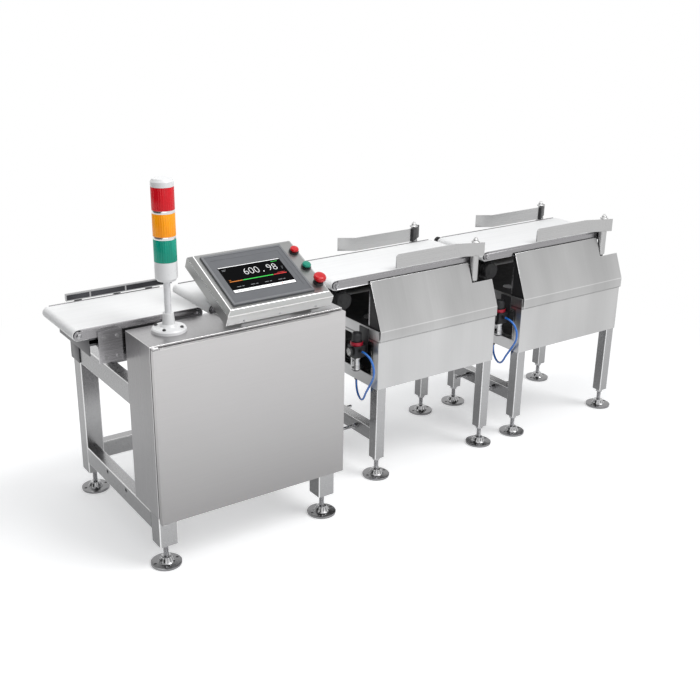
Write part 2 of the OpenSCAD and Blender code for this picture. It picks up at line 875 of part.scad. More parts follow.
module motor_pulley_2() {
  motor_pulley(1);
}

module timing_belts() {
  color(dark) placed() for (i = [0, 1]) {
    x = sort_belt_x + i * sort_pitch + wrap_r;
    translate([x, pulley_v + pulley_w - 1, roll_z]) rotate([90, 0, 0]) rotate(motor_turn)
      linear_extrude(pulley_w - 2) difference() {
        loop_outline(motor_gap, pulley_r + free + 2);
        loop_outline(motor_gap, pulley_r + free);
      }
  }
}

// Load cell bar between its base plate and the cradle
cell_x = cradle_x - 30;
cell_l = 160;
cell_w = 40;
cell_z = up_top + 34;
base_x = cell_x - 20;
base_l = 90;
base_t = 8;
block = 44;

module load_cell() {
  color(steel) placed() {
    translate([base_x, -side_out, up_top]) cube([base_l, 2 * side_out, base_t]);
    translate([cell_x, -block / 2, up_top + base_t + seam])
      cube([block, block, cell_z - up_top - base_t - 2 * seam]);
    translate([cell_x, -cell_w / 2, cell_z]) difference() {
      cube([cell_l, cell_w, cell_w]);
      for (x = [58, cell_l - 58]) rod_y([x, -1, cell_w / 2], cell_w + 2, 13);
      translate([58, -1, cell_w / 2 - 6]) cube([cell_l - 116, cell_w + 2, 12]);
    }
    translate([cell_x + cell_l - block, -block / 2, cell_z + cell_w + seam])
      cube([block, block, cradle_z - cell_z - cell_w - seam]);
  }
}

// Hexagon head screw with its head along the given turn
module screw(p, turn, r, h) {
  translate(p) rotate(turn) cylinder(r = r, h = h, $fn = 6);
}

module fasteners() {
  color(steel) placed() {
    for (x = [18, 58, 98], z = [plate_z + 17, plate_z + plate_h - 20]) {
      screw([plate_x + x, -plate_v - plate_t, z], [90, 0, 0], 5.5, 4);
      screw([plate_x + x, plate_v + plate_t, z], [-90, 0, 0], 5.5, 4);
    }
    for (x = [angle_x + 10, angle_x + angle_w - 12], z = [24, 52]) {
      screw([x, -plate_v - plate_t, up_top + z], [90, 0, 0], 5.5, 4);
    }
    for (x = [base_x + 10, base_x + base_l - 10], v = [-side_out + 11, side_out - 11]) {
      screw([x, v, up_top + base_t], [0, 0, 0], 8, 6);
    }
    for (x = [hmi_x + 46, hmi_x + hmi_w / 2, hmi_x + hmi_w - 46]) {
      screw([x, hmi_y + 36, cab_top + 3], [0, 0, 0], 4, 3);
    }
    for (i = [0:3]) translate([tower_x, tower_ya, cab_top]) rotate(45 + 90 * i)
      translate([40, 0, 14]) cylinder(r = 4.5, h = 3);
    for (s = stations, u = [20, 344], z = [deck_z + 20, deck_z + 60], v = [-1, 1]) {
      screw([s + u, v * side_out, z], [-90 * v, 0, 0], 5.5, 4);
    }
    for (s = stations) translate([s + 64, -58, deck_z]) cylinder(r = 24, h = 4);
  }
}

// Rail behind the infeed belt
guide_x = infeed_x + 80;
guide_l = infeed_l - 58;
guide_h = 22;
guide_up = 4;
guide_foot = roll_z + 4 + free;

module guide_rail() {
  color(steel) placed() {
    translate([guide_x, side_out - 1, belt_z + guide_up]) cube([guide_l, 10, guide_h]);
    for (x = [guide_x + 30, guide_x + guide_l / 2 - 20, guide_x + guide_l - 90]) {
      translate([x, side_out + 9 + seam, guide_foot])
        cube([24, 3, belt_z + guide_up + guide_h - 4 - guide_foot]);
      translate([x, side_out, guide_foot]) cube([24, 9, 8]);
    }
  }
}

// Profile of the sloped cover in the plane across the belts
cover_lap = sort_hd + 11;
slope_len = sqrt(pow(cover_lap - cover_in, 2) + pow(cover_top - deck_z, 2));
slope_v = (cover_lap - cover_in) / slope_len;
slope_z = (cover_top - deck_z) / slope_len;

module cover_profile(t) {
  polygon([[-cover_lap, lap_z], [-cover_lap, deck_z], [-cover_in, cover_top],
    [-cover_in + t * slope_z, cover_top - t * slope_v],
    [-cover_lap + t, deck_z + t * (1 - slope_z) / slope_v * slope_z - t * slope_v],
    [-cover_lap + t, lap_z]]);
}

module cover(cut_u) {
  difference() {
    rotate([90, 0, 90]) linear_extrude(sort_w) cover_profile(sheet);
    translate([cut_u, -cover_lap - 1, cover_cut]) cube([sort_w, 100, 100]);
  }
}

module sort_covers() {
  color(steel) placed() for (s = stations) translate([s, 0, 0]) {
    cover(pivot_u - 20);
    mirror([0, 1, 0]) cover(pivot_u - pivot_shift - 20);
  }
}

// Deck, floor plate and cover gussets inside a station
module sort_decks() {
  color(dark) placed() for (s = stations) translate([s, 0, 0]) {
    translate([0, 0, deck_z - 4]) difference() {
      translate([0, -sort_hd, 0]) cube([sort_w, 2 * sort_hd, 4]);
      for (p = posts) translate([p[0], p[1] * pivot_v, -1]) cylinder(r = bearing_r + free, h = 6);
    }
    difference() {
      translate([0, -sort_hd, panel_z - 4]) cube([sort_w, 2 * sort_hd, 4]);
      for (u = [-free, sort_w - sleg - free], v = [-sort_hd - free, sort_hd - sleg - free]) {
        translate([u, v, panel_z - 5]) cube([sleg + 2 * free, sleg + 2 * free, 6]);
      }
    }
    for (v = [0, 1]) mirror([0, v, 0]) {
      translate([4, 0, 0]) gusset(cover_top - 14);
      translate([sort_w - 9, 0, 0]) gusset(cover_cut - 12);
    }
  }
}

// Triangular plate on the deck that carries the sloped cover, with its upper end at z
module gusset(z) {
  v = cover_lap - (z - deck_z) * slope_v / slope_z - sheet / slope_z - free;
  w = cover_lap - sheet / slope_z - free;
  rotate([90, 0, 90]) linear_extrude(5)
    polygon([[-w, deck_z + seam], [-v, z], [-v + 6, z], [-v + 6, deck_z + seam]]);
}

module sort_panels() {
  color(steel) placed() for (s = stations) translate([s, 0, 0]) {
    for (v = [-sort_hd - sheet, sort_hd]) {
      translate([seam, v, panel_z - 4]) cube([sort_w - 2 * seam, sheet, deck_z - panel_z + 4]);
    }
    for (u = [-sheet, sort_w]) difference() {
      translate([u, -sort_hd - sheet, panel_z - 4])
        cube([sheet, 2 * (sort_hd + sheet), deck_z - panel_z + 4]);
      translate([u - 1, -sort_hd + 26, panel_z + 38]) cube([sheet + 2, 2 * (sort_hd - 26), 124]);
    }
  }
}

// Bent arm plates seen from above, from the free end to the pivot end
arm_in = 20;
arm_out = 20;
arm_end = 26;
bend_u = -78;
tip_u = bend_u - arm_l;
far_out = 25;
far_end = 30;
far_bend_u = -35;
far_tip = 55;
far_tip_out = 35;
sleeve_r = 15;

// Offset direction at point i of a path, mitred at its bends
function side_of(a, b) = [a[1] - b[1], b[0] - a[0]] / norm(b - a);
function bend_of(m, n) = (m + n) / (1 + m * n);
function offset_at(p, i) = i == 0 ? side_of(p[0], p[1])
  : i == len(p) - 1 ? side_of(p[i - 1], p[i])
  : bend_of(side_of(p[i - 1], p[i]), side_of(p[i], p[i + 1]));

// Bent plate along a path
module strip(p) {
  k = arm_t / 2;
  last = len(p) - 1;
  polygon(concat([for (i = [0:last]) p[i] - k * offset_at(p, i)],
    [for (i = [last:-1:0]) p[i] + k * offset_at(p, i)]));
}

// Plate of a near arm, with a round upper corner at its free end
module near_plate() {
  difference() {
    translate([0, 0, arm_z]) linear_extrude(arm_h)
      strip([[tip_u, arm_in], [bend_u, arm_in], [arm_end, -arm_out]]);
    translate([tip_u - 1, arm_in - 10, arm_z + arm_h - 14]) difference() {
      cube([15, 20, 15]);
      translate([14.6, -1, 0.4]) rotate([-90, 0, 0]) cylinder(r = 14, h = 22);
    }
  }
}

// Plate of a far arm, with a free end that turns away from the belt
module far_plate() {
  translate([0, 0, arm_z]) linear_extrude(arm_h)
    strip([[tip_u, arm_in - far_tip_out], [tip_u + far_tip, arm_in], [far_bend_u, arm_in],
      [far_end, -far_out]]);
}

// Arm plate, post with sleeve, crank and crank pin, at its pivot
module swing_arm(far) {
  if (far) far_plate();
  else near_plate();
  translate([0, 0, crank_z]) cylinder(r = post_r, h = arm_z + arm_h - crank_z);
  translate([0, 0, sleeve_z]) cylinder(r = sleeve_r, h = arm_z - sleeve_z);
  translate([0, 0, arm_z + arm_h]) cylinder(r = 15, h = 3);
  translate([0, 0, arm_z + arm_h + 3]) cylinder(r = 9.5, h = 8, $fn = 6);
  translate([0, 0, arm_z + arm_h + 11]) cylinder(r1 = 8, r2 = 4, h = 7);
  translate([0, 0, crank_z]) cylinder(r = 17, h = crank_t);
  translate([0, 0, crank_z]) rotate(90 + arm_swing / 2) translate([0, -9, 0]) cube([crank_r, 18, crank_t]);
  translate([pin_du, pin_dv, crank_z]) cylinder(r = 10, h = crank_t);
  translate([pin_du, pin_dv, rod_z - 9]) cylinder(r = pin_r, h = crank_z - rod_z + 9);
}

module arm_at(i, j) {
  color(steel) placed() translate([stations[i] + posts[j][0], posts[j][1] * pivot_v, 0])
    mirror([0, j, 0]) swing_arm(j == 1);
}

module front_arm_1() {
  arm_at(0, 0);
}

module rear_arm_1() {
  arm_at(0, 1);
}

module front_arm_2() {
  arm_at(1, 0);
}

module rear_arm_2() {
  arm_at(1, 1);
}

// Piston rod with its slotted yoke round the crank pin, from the post axis
module piston_rod() {
  v = pivot_v - rod_v;
  translate([pin_du, v, rod_z - 7]) difference() {
    translate([-yoke_half, -14, 0]) cube([2 * yoke_half, 28, 14]);
    translate([-pin_r - slot_gap, -9, -1]) cube([2 * (pin_r + slot_gap), 18, 16]);
  }
  rod_x([cyl_end - cyl_l + 20, v, rod_z], pin_du - yoke_half - cyl_end + cyl_l - 18, 5);
  rod_x([cyl_end - cyl_l + 12, v, rod_z], 10, 12 - run);
}

module rod_at_post(i, j) {
  color(steel) placed() translate([stations[i] + posts[j][0], posts[j][1] * pivot_v, 0])
    mirror([0, j, 0]) piston_rod();
}

module front_rod_1() {
  rod_at_post(0, 0);
}

module rear_rod_1() {
  rod_at_post(0, 1);
}

module front_rod_2() {
  rod_at_post(1, 0);
}

module rear_rod_2() {
  rod_at_post(1, 1);
}

module air_cylinder() {
  v = pivot_v - rod_v;
  difference() {
    translate([cyl_end - cyl_l, v - cyl_s / 2, rod_z - cyl_s / 2]) cube([cyl_l, cyl_s, cyl_s]);
    rod_x([cyl_end - cyl_l + 10, v, rod_z], cyl_l - 22, 12);
    rod_x([cyl_end - 20, v, rod_z], 22, 5 + run);
  }
  translate([cyl_end - cyl_l + 20, v - 13, rod_z + cyl_s / 2]) cube([40, 26, deck_z - 4 - rod_z - cyl_s / 2]);
}

module air_cylinders() {
  color(grey) placed() for (i = [0, 1], j = [0, 1]) {
    translate([stations[i] + posts[j][0], posts[j][1] * pivot_v, 0]) mirror([0, j, 0]) air_cylinder();
  }
}

// Filter regulator with bowl, gauge, bracket and fittings at the left end of a station
module air_regulators() {
  color(dark) placed() for (s = stations) translate([s, 0, 0]) {
    difference() {
      translate([reg_u - reg_s / 2, reg_v - reg_s / 2, reg_z]) cube([reg_s, reg_s, reg_h]);
      rod_y([reg_u, reg_v + reg_s / 2 - 12, port_z], 13, inlet_r);
    }
    translate([reg_u, reg_v, reg_z - 54]) rotate_extrude()
      polygon([[0, 0], [10, 0], [17, 6], [18, 12], [18, 54], [0, 54]]);
    translate([reg_u, reg_v, reg_z + reg_h]) difference() {
      cylinder(r = 20, h = 14);
      translate([0, 0, 5]) cylinder(r = knob_r - 6 + run, h = 10);
    }
    rod_x([reg_u - reg_s / 2 - 10, reg_v, port_z - 4], 10, 15);
    rod_y([reg_u, hose_route[0][1], port_z], reg_v - reg_s / 2 - hose_route[0][1], 7);
    translate([-sheet - 3, reg_v - 26, reg_z + reg_h + 18]) cube([3, 52, 40]);
    translate([reg_u + reg_s / 2, reg_v - 22, reg_z + 12]) cube([-sheet - 3 - reg_u - reg_s / 2, 44, 4]);
    translate([-sheet - 3, reg_v - 22, reg_z + 12]) cube([3, 44, reg_h + 6]);
    translate([elbow_u, elbow_v, hose_end]) cylinder(r = 7, h = panel_z - 4 - hose_end);
  }
}

knob_r = 17;
inlet_r = 5.7;

module knob(i) {
  color(dark) placed() translate([stations[i] + reg_u, reg_v, reg_z + reg_h]) {
    translate([0, 0, 6]) cylinder(r = knob_r - 6, h = 10);
    translate([0, 0, 15]) cylinder(r = knob_r, h = 26);
    translate([0, 0, 41]) cylinder(r1 = knob_r, r2 = knob_r - 3, h = 5);
  }
}

module regulator_knob_1() {
  knob(0);
}

module regulator_knob_2() {
  knob(1);
}

// Round tube swept along a smooth curve through the route points
function at(p, i) = p[max(0, min(len(p) - 1, i))];
function curve(p, i, t) = 0.5 * (2 * at(p, i) + (at(p, i + 1) - at(p, i - 1)) * t
  + (2 * at(p, i - 1) - 5 * at(p, i) + 4 * at(p, i + 1) - at(p, i + 2)) * t * t
  + (3 * at(p, i) - at(p, i - 1) - 3 * at(p, i + 1) + at(p, i + 2)) * t * t * t);
function path(p, n) = concat([for (i = [0:len(p) - 2], k = [0:n - 1]) curve(p, i, k / n)], [p[len(p) - 1]]);
function unit(v) = v / norm(v);
function tangents(c, a, b) = [for (i = [0:len(c) - 1])
  i == 0 ? a : i == len(c) - 1 ? b : unit(c[i + 1] - c[i - 1])];
function sides(t, i, acc) = i == len(t) ? acc
  : sides(t, i + 1, concat(acc, [unit(acc[i - 1] - (acc[i - 1] * t[i]) * t[i])]));

module tube_along(p, r, n, dir_a, dir_b) {
  c = path(p, 2);
  t = tangents(c, dir_a, dir_b);
  a = sides(t, 1, [unit(cross(t[0], [1, 0, 0.01]))]);
  m = len(c);
  rings = [for (i = [0:m - 1], k = [0:n - 1])
    c[i] + r * (cos(360 * k / n) * a[i] + sin(360 * k / n) * cross(t[i], a[i]))];
  walls = [for (i = [0:m - 2], k = [0:n - 1])
    [i * n + k, i * n + (k + 1) % n, (i + 1) * n + (k + 1) % n, (i + 1) * n + k]];
  first = [for (k = [0:n - 1]) n - 1 - k];
  last = [for (k = [0:n - 1]) (m - 1) * n + k];
  polyhedron(points = rings, faces = concat([first], walls, [last]));
}

module hose(i) {
  color([0.1, 0.4, 0.9]) placed() translate([stations[i], 0, 0]) 
    tube_along(hose_route, hose_r, hose_sides, hose_out, hose_in);
}

module air_hose_1() {
  hose(0);
}

module air_hose_2() {
  hose(1);
}

main_frame();
sort_frames();
foot_pads();
foot_stems();
coupling_rods();
cabinet_body();
cabinet_door();
door_seal();
control_panel();
hmi_housing();
hmi_stand();
hmi_bezel();
touchscreen();
button_collars();
stop_button();
start_button();
estop_button();
tower_base();
tower_pole();
tower_housing();
lens_red();
lens_amber();
lens_green();
conveyor_belts();
infeed_conveyor_frame();
weigh_conveyor_frame();
sort_conveyor_frames();
infeed_drive_roller();
infeed_tail_roller();
weigh_drive_roller();
weigh_tail_roller();
sort_drive_roller_1();
sort_tail_roller_1();
sort_drive_roller_2();
sort_tail_roller_2();
drive_motors();
motor_pulley_1();
motor_pulley_2();
timing_belts();
load_cell();
fasteners();
guide_rail();
sort_decks();
sort_covers();
sort_panels();
front_arm_1();
rear_arm_1();
front_arm_2();
rear_arm_2();
front_rod_1();
rear_rod_1();
front_rod_2();
rear_rod_2();
air_cylinders();
air_regulators();
regulator_knob_1();
regulator_knob_2();
air_hose_1();
air_hose_2();
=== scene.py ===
import json
import math

import bmesh
import bpy
from mathutils import Matrix, Vector


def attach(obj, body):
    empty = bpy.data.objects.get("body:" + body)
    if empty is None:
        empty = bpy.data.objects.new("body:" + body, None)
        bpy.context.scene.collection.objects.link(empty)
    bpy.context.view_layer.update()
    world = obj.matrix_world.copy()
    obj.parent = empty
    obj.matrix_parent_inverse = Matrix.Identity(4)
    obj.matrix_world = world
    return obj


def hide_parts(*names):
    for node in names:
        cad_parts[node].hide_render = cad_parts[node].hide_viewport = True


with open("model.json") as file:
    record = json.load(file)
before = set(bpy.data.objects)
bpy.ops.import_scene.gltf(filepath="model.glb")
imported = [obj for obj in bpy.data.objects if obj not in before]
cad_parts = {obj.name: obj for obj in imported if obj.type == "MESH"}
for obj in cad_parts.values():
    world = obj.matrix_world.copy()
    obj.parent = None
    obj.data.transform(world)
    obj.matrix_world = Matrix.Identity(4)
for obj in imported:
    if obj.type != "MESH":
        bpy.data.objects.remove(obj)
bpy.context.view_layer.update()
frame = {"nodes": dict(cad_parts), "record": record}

RECORD = frame["record"]
BODY_OF = {n: b for b, ns in RECORD["behaviour"]["bodies"].items() for n in ns}
SCENE = bpy.context.scene
BASE = "machine"

# Machine coordinates in millimetres, as in the part's source, to the row frame in metres
X_MID, Y_MID = 984.0, -7.0
STATIONS = (895.0, 1560.0)


def at(x, y, z):
    return Vector(((x - X_MID) / 1000, (y - Y_MID) / 1000, z / 1000))


# Camera at the photograph's angle
cam_data = bpy.data.cameras.new("photo_camera")
cam_data.lens = 51.57
cam_data.sensor_width = 36
cam_data.shift_x = 0.072
camera = bpy.data.objects.new("photo_camera", cam_data)
camera.location = (-2.0382, -2.7303, 1.7047)
camera.rotation_euler = (math.radians(69.18), 0, math.radians(-32.67))
SCENE.collection.objects.link(camera)
SCENE.camera = camera


# Materials
class Mat:
    """A node material: small helpers round one Principled shader."""

    def __init__(self, name, **sockets):
        self.mat = bpy.data.materials.new(name)
        self.mat.use_nodes = True
        self.nodes = self.mat.node_tree.nodes
        self.links = self.mat.node_tree.links
        self.bsdf = self.nodes["Principled BSDF"]
        self.coord = self.nodes.new("ShaderNodeTexCoord")
        for k, v in sockets.items():
            self.bsdf.inputs[k.replace("_", " ").title().replace("Ior", "IOR")].default_value = v

    def put(self, socket, value):
        if hasattr(value, "is_output"):
            self.links.new(value, socket)
        else:
            socket.default_value = value

    def noise(self, scale, detail=3.0, rough=0.55, vec=None):
        """3-D noise; scale is one number or one per axis, in cycles a metre."""
        m = self.nodes.new("ShaderNodeMapping")
        m.inputs["Scale"].default_value = scale if hasattr(scale, "__len__") else (scale,) * 3
        self.links.new(vec or self.coord.outputs["Object"], m.inputs["Vector"])
        n = self.nodes.new("ShaderNodeTexNoise")
        n.inputs["Scale"].default_value = 1.0
        n.inputs["Detail"].default_value = detail
        n.inputs["Roughness"].default_value = rough
        self.links.new(m.outputs["Vector"], n.inputs["Vector"])
        return n.outputs["Fac"]

    def math(self, op, a, b=0.0):
        n = self.nodes.new("ShaderNodeMath")
        n.operation = op
        self.put(n.inputs[0], a)
        self.put(n.inputs[1], b)
        return n.outputs[0]

    def lerp(self, fac, a, b):
        n = self.nodes.new("ShaderNodeMix")
        n.data_type = "FLOAT"
        self.put(n.inputs[0], fac)
        self.put(n.inputs[2], a)
        self.put(n.inputs[3], b)
        return n.outputs[0]

    def ramp(self, fac, *stops):
        n = self.nodes.new("ShaderNodeValToRGB")
        while len(n.color_ramp.elements) < len(stops):
            n.color_ramp.elements.new(0.5)
        for e, (p, c) in zip(n.color_ramp.elements, stops):
            e.position = p
            e.color = (*c, 1)
        self.links.new(fac, n.inputs["Fac"])
        return n.outputs["Color"]

    def span(self, fac, low, high, a=0.3, b=0.7):
        n = self.nodes.new("ShaderNodeMapRange")
        n.inputs["From Min"].default_value = a
        n.inputs["From Max"].default_value = b
        n.inputs["To Min"].default_value = low
        n.inputs["To Max"].default_value = high
        self.links.new(fac, n.inputs["Value"])
        return n.outputs["Result"]

    def bump(self, height, strength, dist):
        n = self.nodes.new("ShaderNodeBump")
        n.inputs["Strength"].default_value = strength
        n.inputs["Distance"].default_value = dist
        self.links.new(height, n.inputs["Height"])
        self.links.new(n.outputs["Normal"], self.bsdf.inputs["Normal"])

    def colour(self, value):
        self.put(self.bsdf.inputs["Base Color"], value)

    def rough(self, value):
        self.put(self.bsdf.inputs["Roughness"], value)


def tone(c, k):
    return tuple(min(1.0, max(0.0, v * k)) for v in c)


# Cycles a metre on x, y and z: few along the grain, many across it
GRAIN = {
    "x": (2.5, 900, 900), "y": (900, 2.5, 900), "z": (900, 900, 2.5), "yz": (900, 2.5, 2.5),
    "fine": (420, 420, 420),
}
BROADER = 12  # how much wider the broad streaks are than the fine ones


def brushed(name, base, grain, rough, contrast, height_shading=None, highlight_shadow_lines=(), faces=None, bands=0.0):
    """Brushed stainless steel: streaks along the grain and soft clouds, with painted shade and light by face
    direction and by height.

    faces: factors for faces square to x and to z, painted shade and light by face direction. bands: depth of
    broad soft stripes. height_shading: heights z0 and z1 and the factor at z0, which runs to 1 at z1, painted
    shade towards the bottom, painted light where the factor is above 1. highlight_shadow_lines: height,
    factor and half width of painted highlights and painted shadows across that run, such as a highlight on a
    fold or a shadow under a hem.
    """
    m = Mat(name, metallic=1.0)
    streak = m.noise(GRAIN[grain], 2.0, 0.6)
    clouds = m.noise(2.2, 3.0, 0.5)
    broad = m.noise(tuple(v / BROADER for v in GRAIN[grain]), 3.0, 0.6)
    mixed = m.math("ADD", m.math("MULTIPLY", streak, 0.75), m.math("MULTIPLY", broad, 0.25))
    wave = m.lerp(0.3, mixed, clouds)
    col = m.ramp(wave, (0.3, tone(base, 1 - contrast)), (0.52, base), (0.74, tone(base, 1 + contrast)))

    def times(c, by):
        mix = m.nodes.new("ShaderNodeMix")
        mix.data_type = "RGBA"
        mix.blend_type = "MULTIPLY"
        mix.inputs[0].default_value = 1.0
        m.links.new(c, mix.inputs[6])
        m.links.new(by, mix.inputs[7])
        return mix.outputs[2]

    if bands:
        soft = m.noise((5.5, 1.2, 1.8), 2.0, 0.5)
        col = times(col, m.ramp(soft, (0.32, (1 - bands,) * 3), (0.68, (1 + bands,) * 3)))
    # Painted shade and light by face direction: faces square to x and to z take their factors.
    if faces:
        sep_n = m.nodes.new("ShaderNodeSeparateXYZ")
        m.links.new(m.coord.outputs["Normal"], sep_n.inputs[0])
        for axis, k in zip((0, 2), faces):
            square = m.math("ABSOLUTE", sep_n.outputs[axis])
            col = times(col, m.ramp(square, (0.45, (1, 1, 1)), (0.75, (k, k, k))))
    # Painted shade and light by height, with painted highlight and shadow lines across it.
    if height_shading:
        z0, z1, k0 = height_shading
        sep_z = m.nodes.new("ShaderNodeSeparateXYZ")
        m.links.new(m.coord.outputs["Object"], sep_z.inputs[0])
        stops = [(0.0, (k0, k0, k0)), (1.0, (1, 1, 1))]
        for z, k, h in highlight_shadow_lines:
            q, t = (z - z0) / (z1 - z0), h / (z1 - z0)
            mid = k0 + (1 - k0) * min(1.0, max(0.0, q))
            plain, painted = (mid,) * 3, (mid * k,) * 3
            stops += [(q - t, plain), (q - t * 0.6, painted), (q + t * 0.6, painted), (q + t, plain)]
        col = times(col, m.ramp(m.span(sep_z.outputs[2], 0.0, 1.0, z0, z1), *sorted(stops)))
    m.colour(col)
    m.rough(m.span(mixed, rough - 0.06, rough + 0.07))
    m.bump(streak, 0.10, 0.0004)
    return m.mat


def polished(name, base, rough, ring=260.0):
    """Turned and polished steel with fine tool rings and faint smears."""
    m = Mat(name, metallic=1.0)
    ringed = m.noise((6, 6, ring), 2.0, 0.5)
    smear = m.noise(24, 4.0, 0.6)
    m.colour(m.ramp(smear, (0.3, tone(base, 0.9)), (0.7, tone(base, 1.05))))
    m.rough(m.span(smear, rough - 0.05, rough + 0.09))
    m.bump(ringed, 0.12, 0.0005)
    return m.mat


def plastic(name, base, rough, grain=900.0, bump=0.12, vary=0.07, coat=0.0, **more):
    """Moulded plastic or paint: fine texture, slight mottling and rubbed patches."""
    m = Mat(name, coat_weight=coat, coat_roughness=0.12, **more)
    fine = m.noise(grain, 2.0, 0.6)
    mottle = m.noise(14, 4.0, 0.6)
    m.colour(m.ramp(mottle, (0.28, tone(base, 1 - vary)), (0.5, base), (0.75, tone(base, 1 + vary))))
    m.rough(m.span(m.noise(38, 4.0, 0.65), rough - 0.06, rough + 0.08))
    m.bump(fine, bump, 0.0003)
    return m.mat


def belt_cloth(name):
    """White coated belt: fine fabric weave below the coat, faint tracks along the run."""
    m = Mat(name, specular_ior_level=0.3)
    weave = m.math("MULTIPLY", m.noise((900, 60, 60), 1.0), m.noise((60, 900, 60), 1.0))
    track = m.noise((1.2, 90, 8), 3.0, 0.6)
    soft = m.noise(5, 3.0)
    both = m.lerp(0.45, track, soft)
    m.colour(m.ramp(both, (0.3, (0.88, 0.88, 0.875)), (0.55, (0.94, 0.94, 0.935)),
                    (0.8, (0.97, 0.97, 0.97))))
    m.rough(m.span(track, 0.46, 0.6))
    m.bump(weave, 0.10, 0.0003)
    return m.mat


def lens_plastic(name, base, deep):
    """Clear tinted plastic of the signal lamps, with a painted glow of its own tint though the lamps are off.
    """
    m = Mat(name, ior=1.46, specular_ior_level=0.2, coat_weight=0.3, coat_roughness=0.05)
    tint = m.noise((40, 40, 6), 3.0, 0.5)
    m.colour(m.ramp(tint, (0.3, deep), (0.7, base)))
    # Painted glow: the lenses emit their own tint, though the lamps are off.
    m.put(m.bsdf.inputs["Emission Color"], m.ramp(tint, (0.3, deep), (0.7, base)))
    m.bsdf.inputs["Emission Strength"].default_value = 0.22
    m.rough(m.span(m.noise(60, 3.0), 0.22, 0.34))
    m.bump(m.noise((160, 160, 20), 2.0), 0.06, 0.0005)
    return m.mat


def glow(name, base, strength):
    """Lit print on the display, with a faint pixel raster."""
    m = Mat(name, roughness=0.35)
    raster = m.noise(1600, 1.0)
    m.colour(m.ramp(raster, (0.3, tone(base, 0.85)), (0.7, base)))
    m.put(m.bsdf.inputs["Emission Color"], m.ramp(raster, (0.3, tone(base, 0.85)), (0.7, base)))
    m.bsdf.inputs["Emission Strength"].default_value = strength
    return m.mat


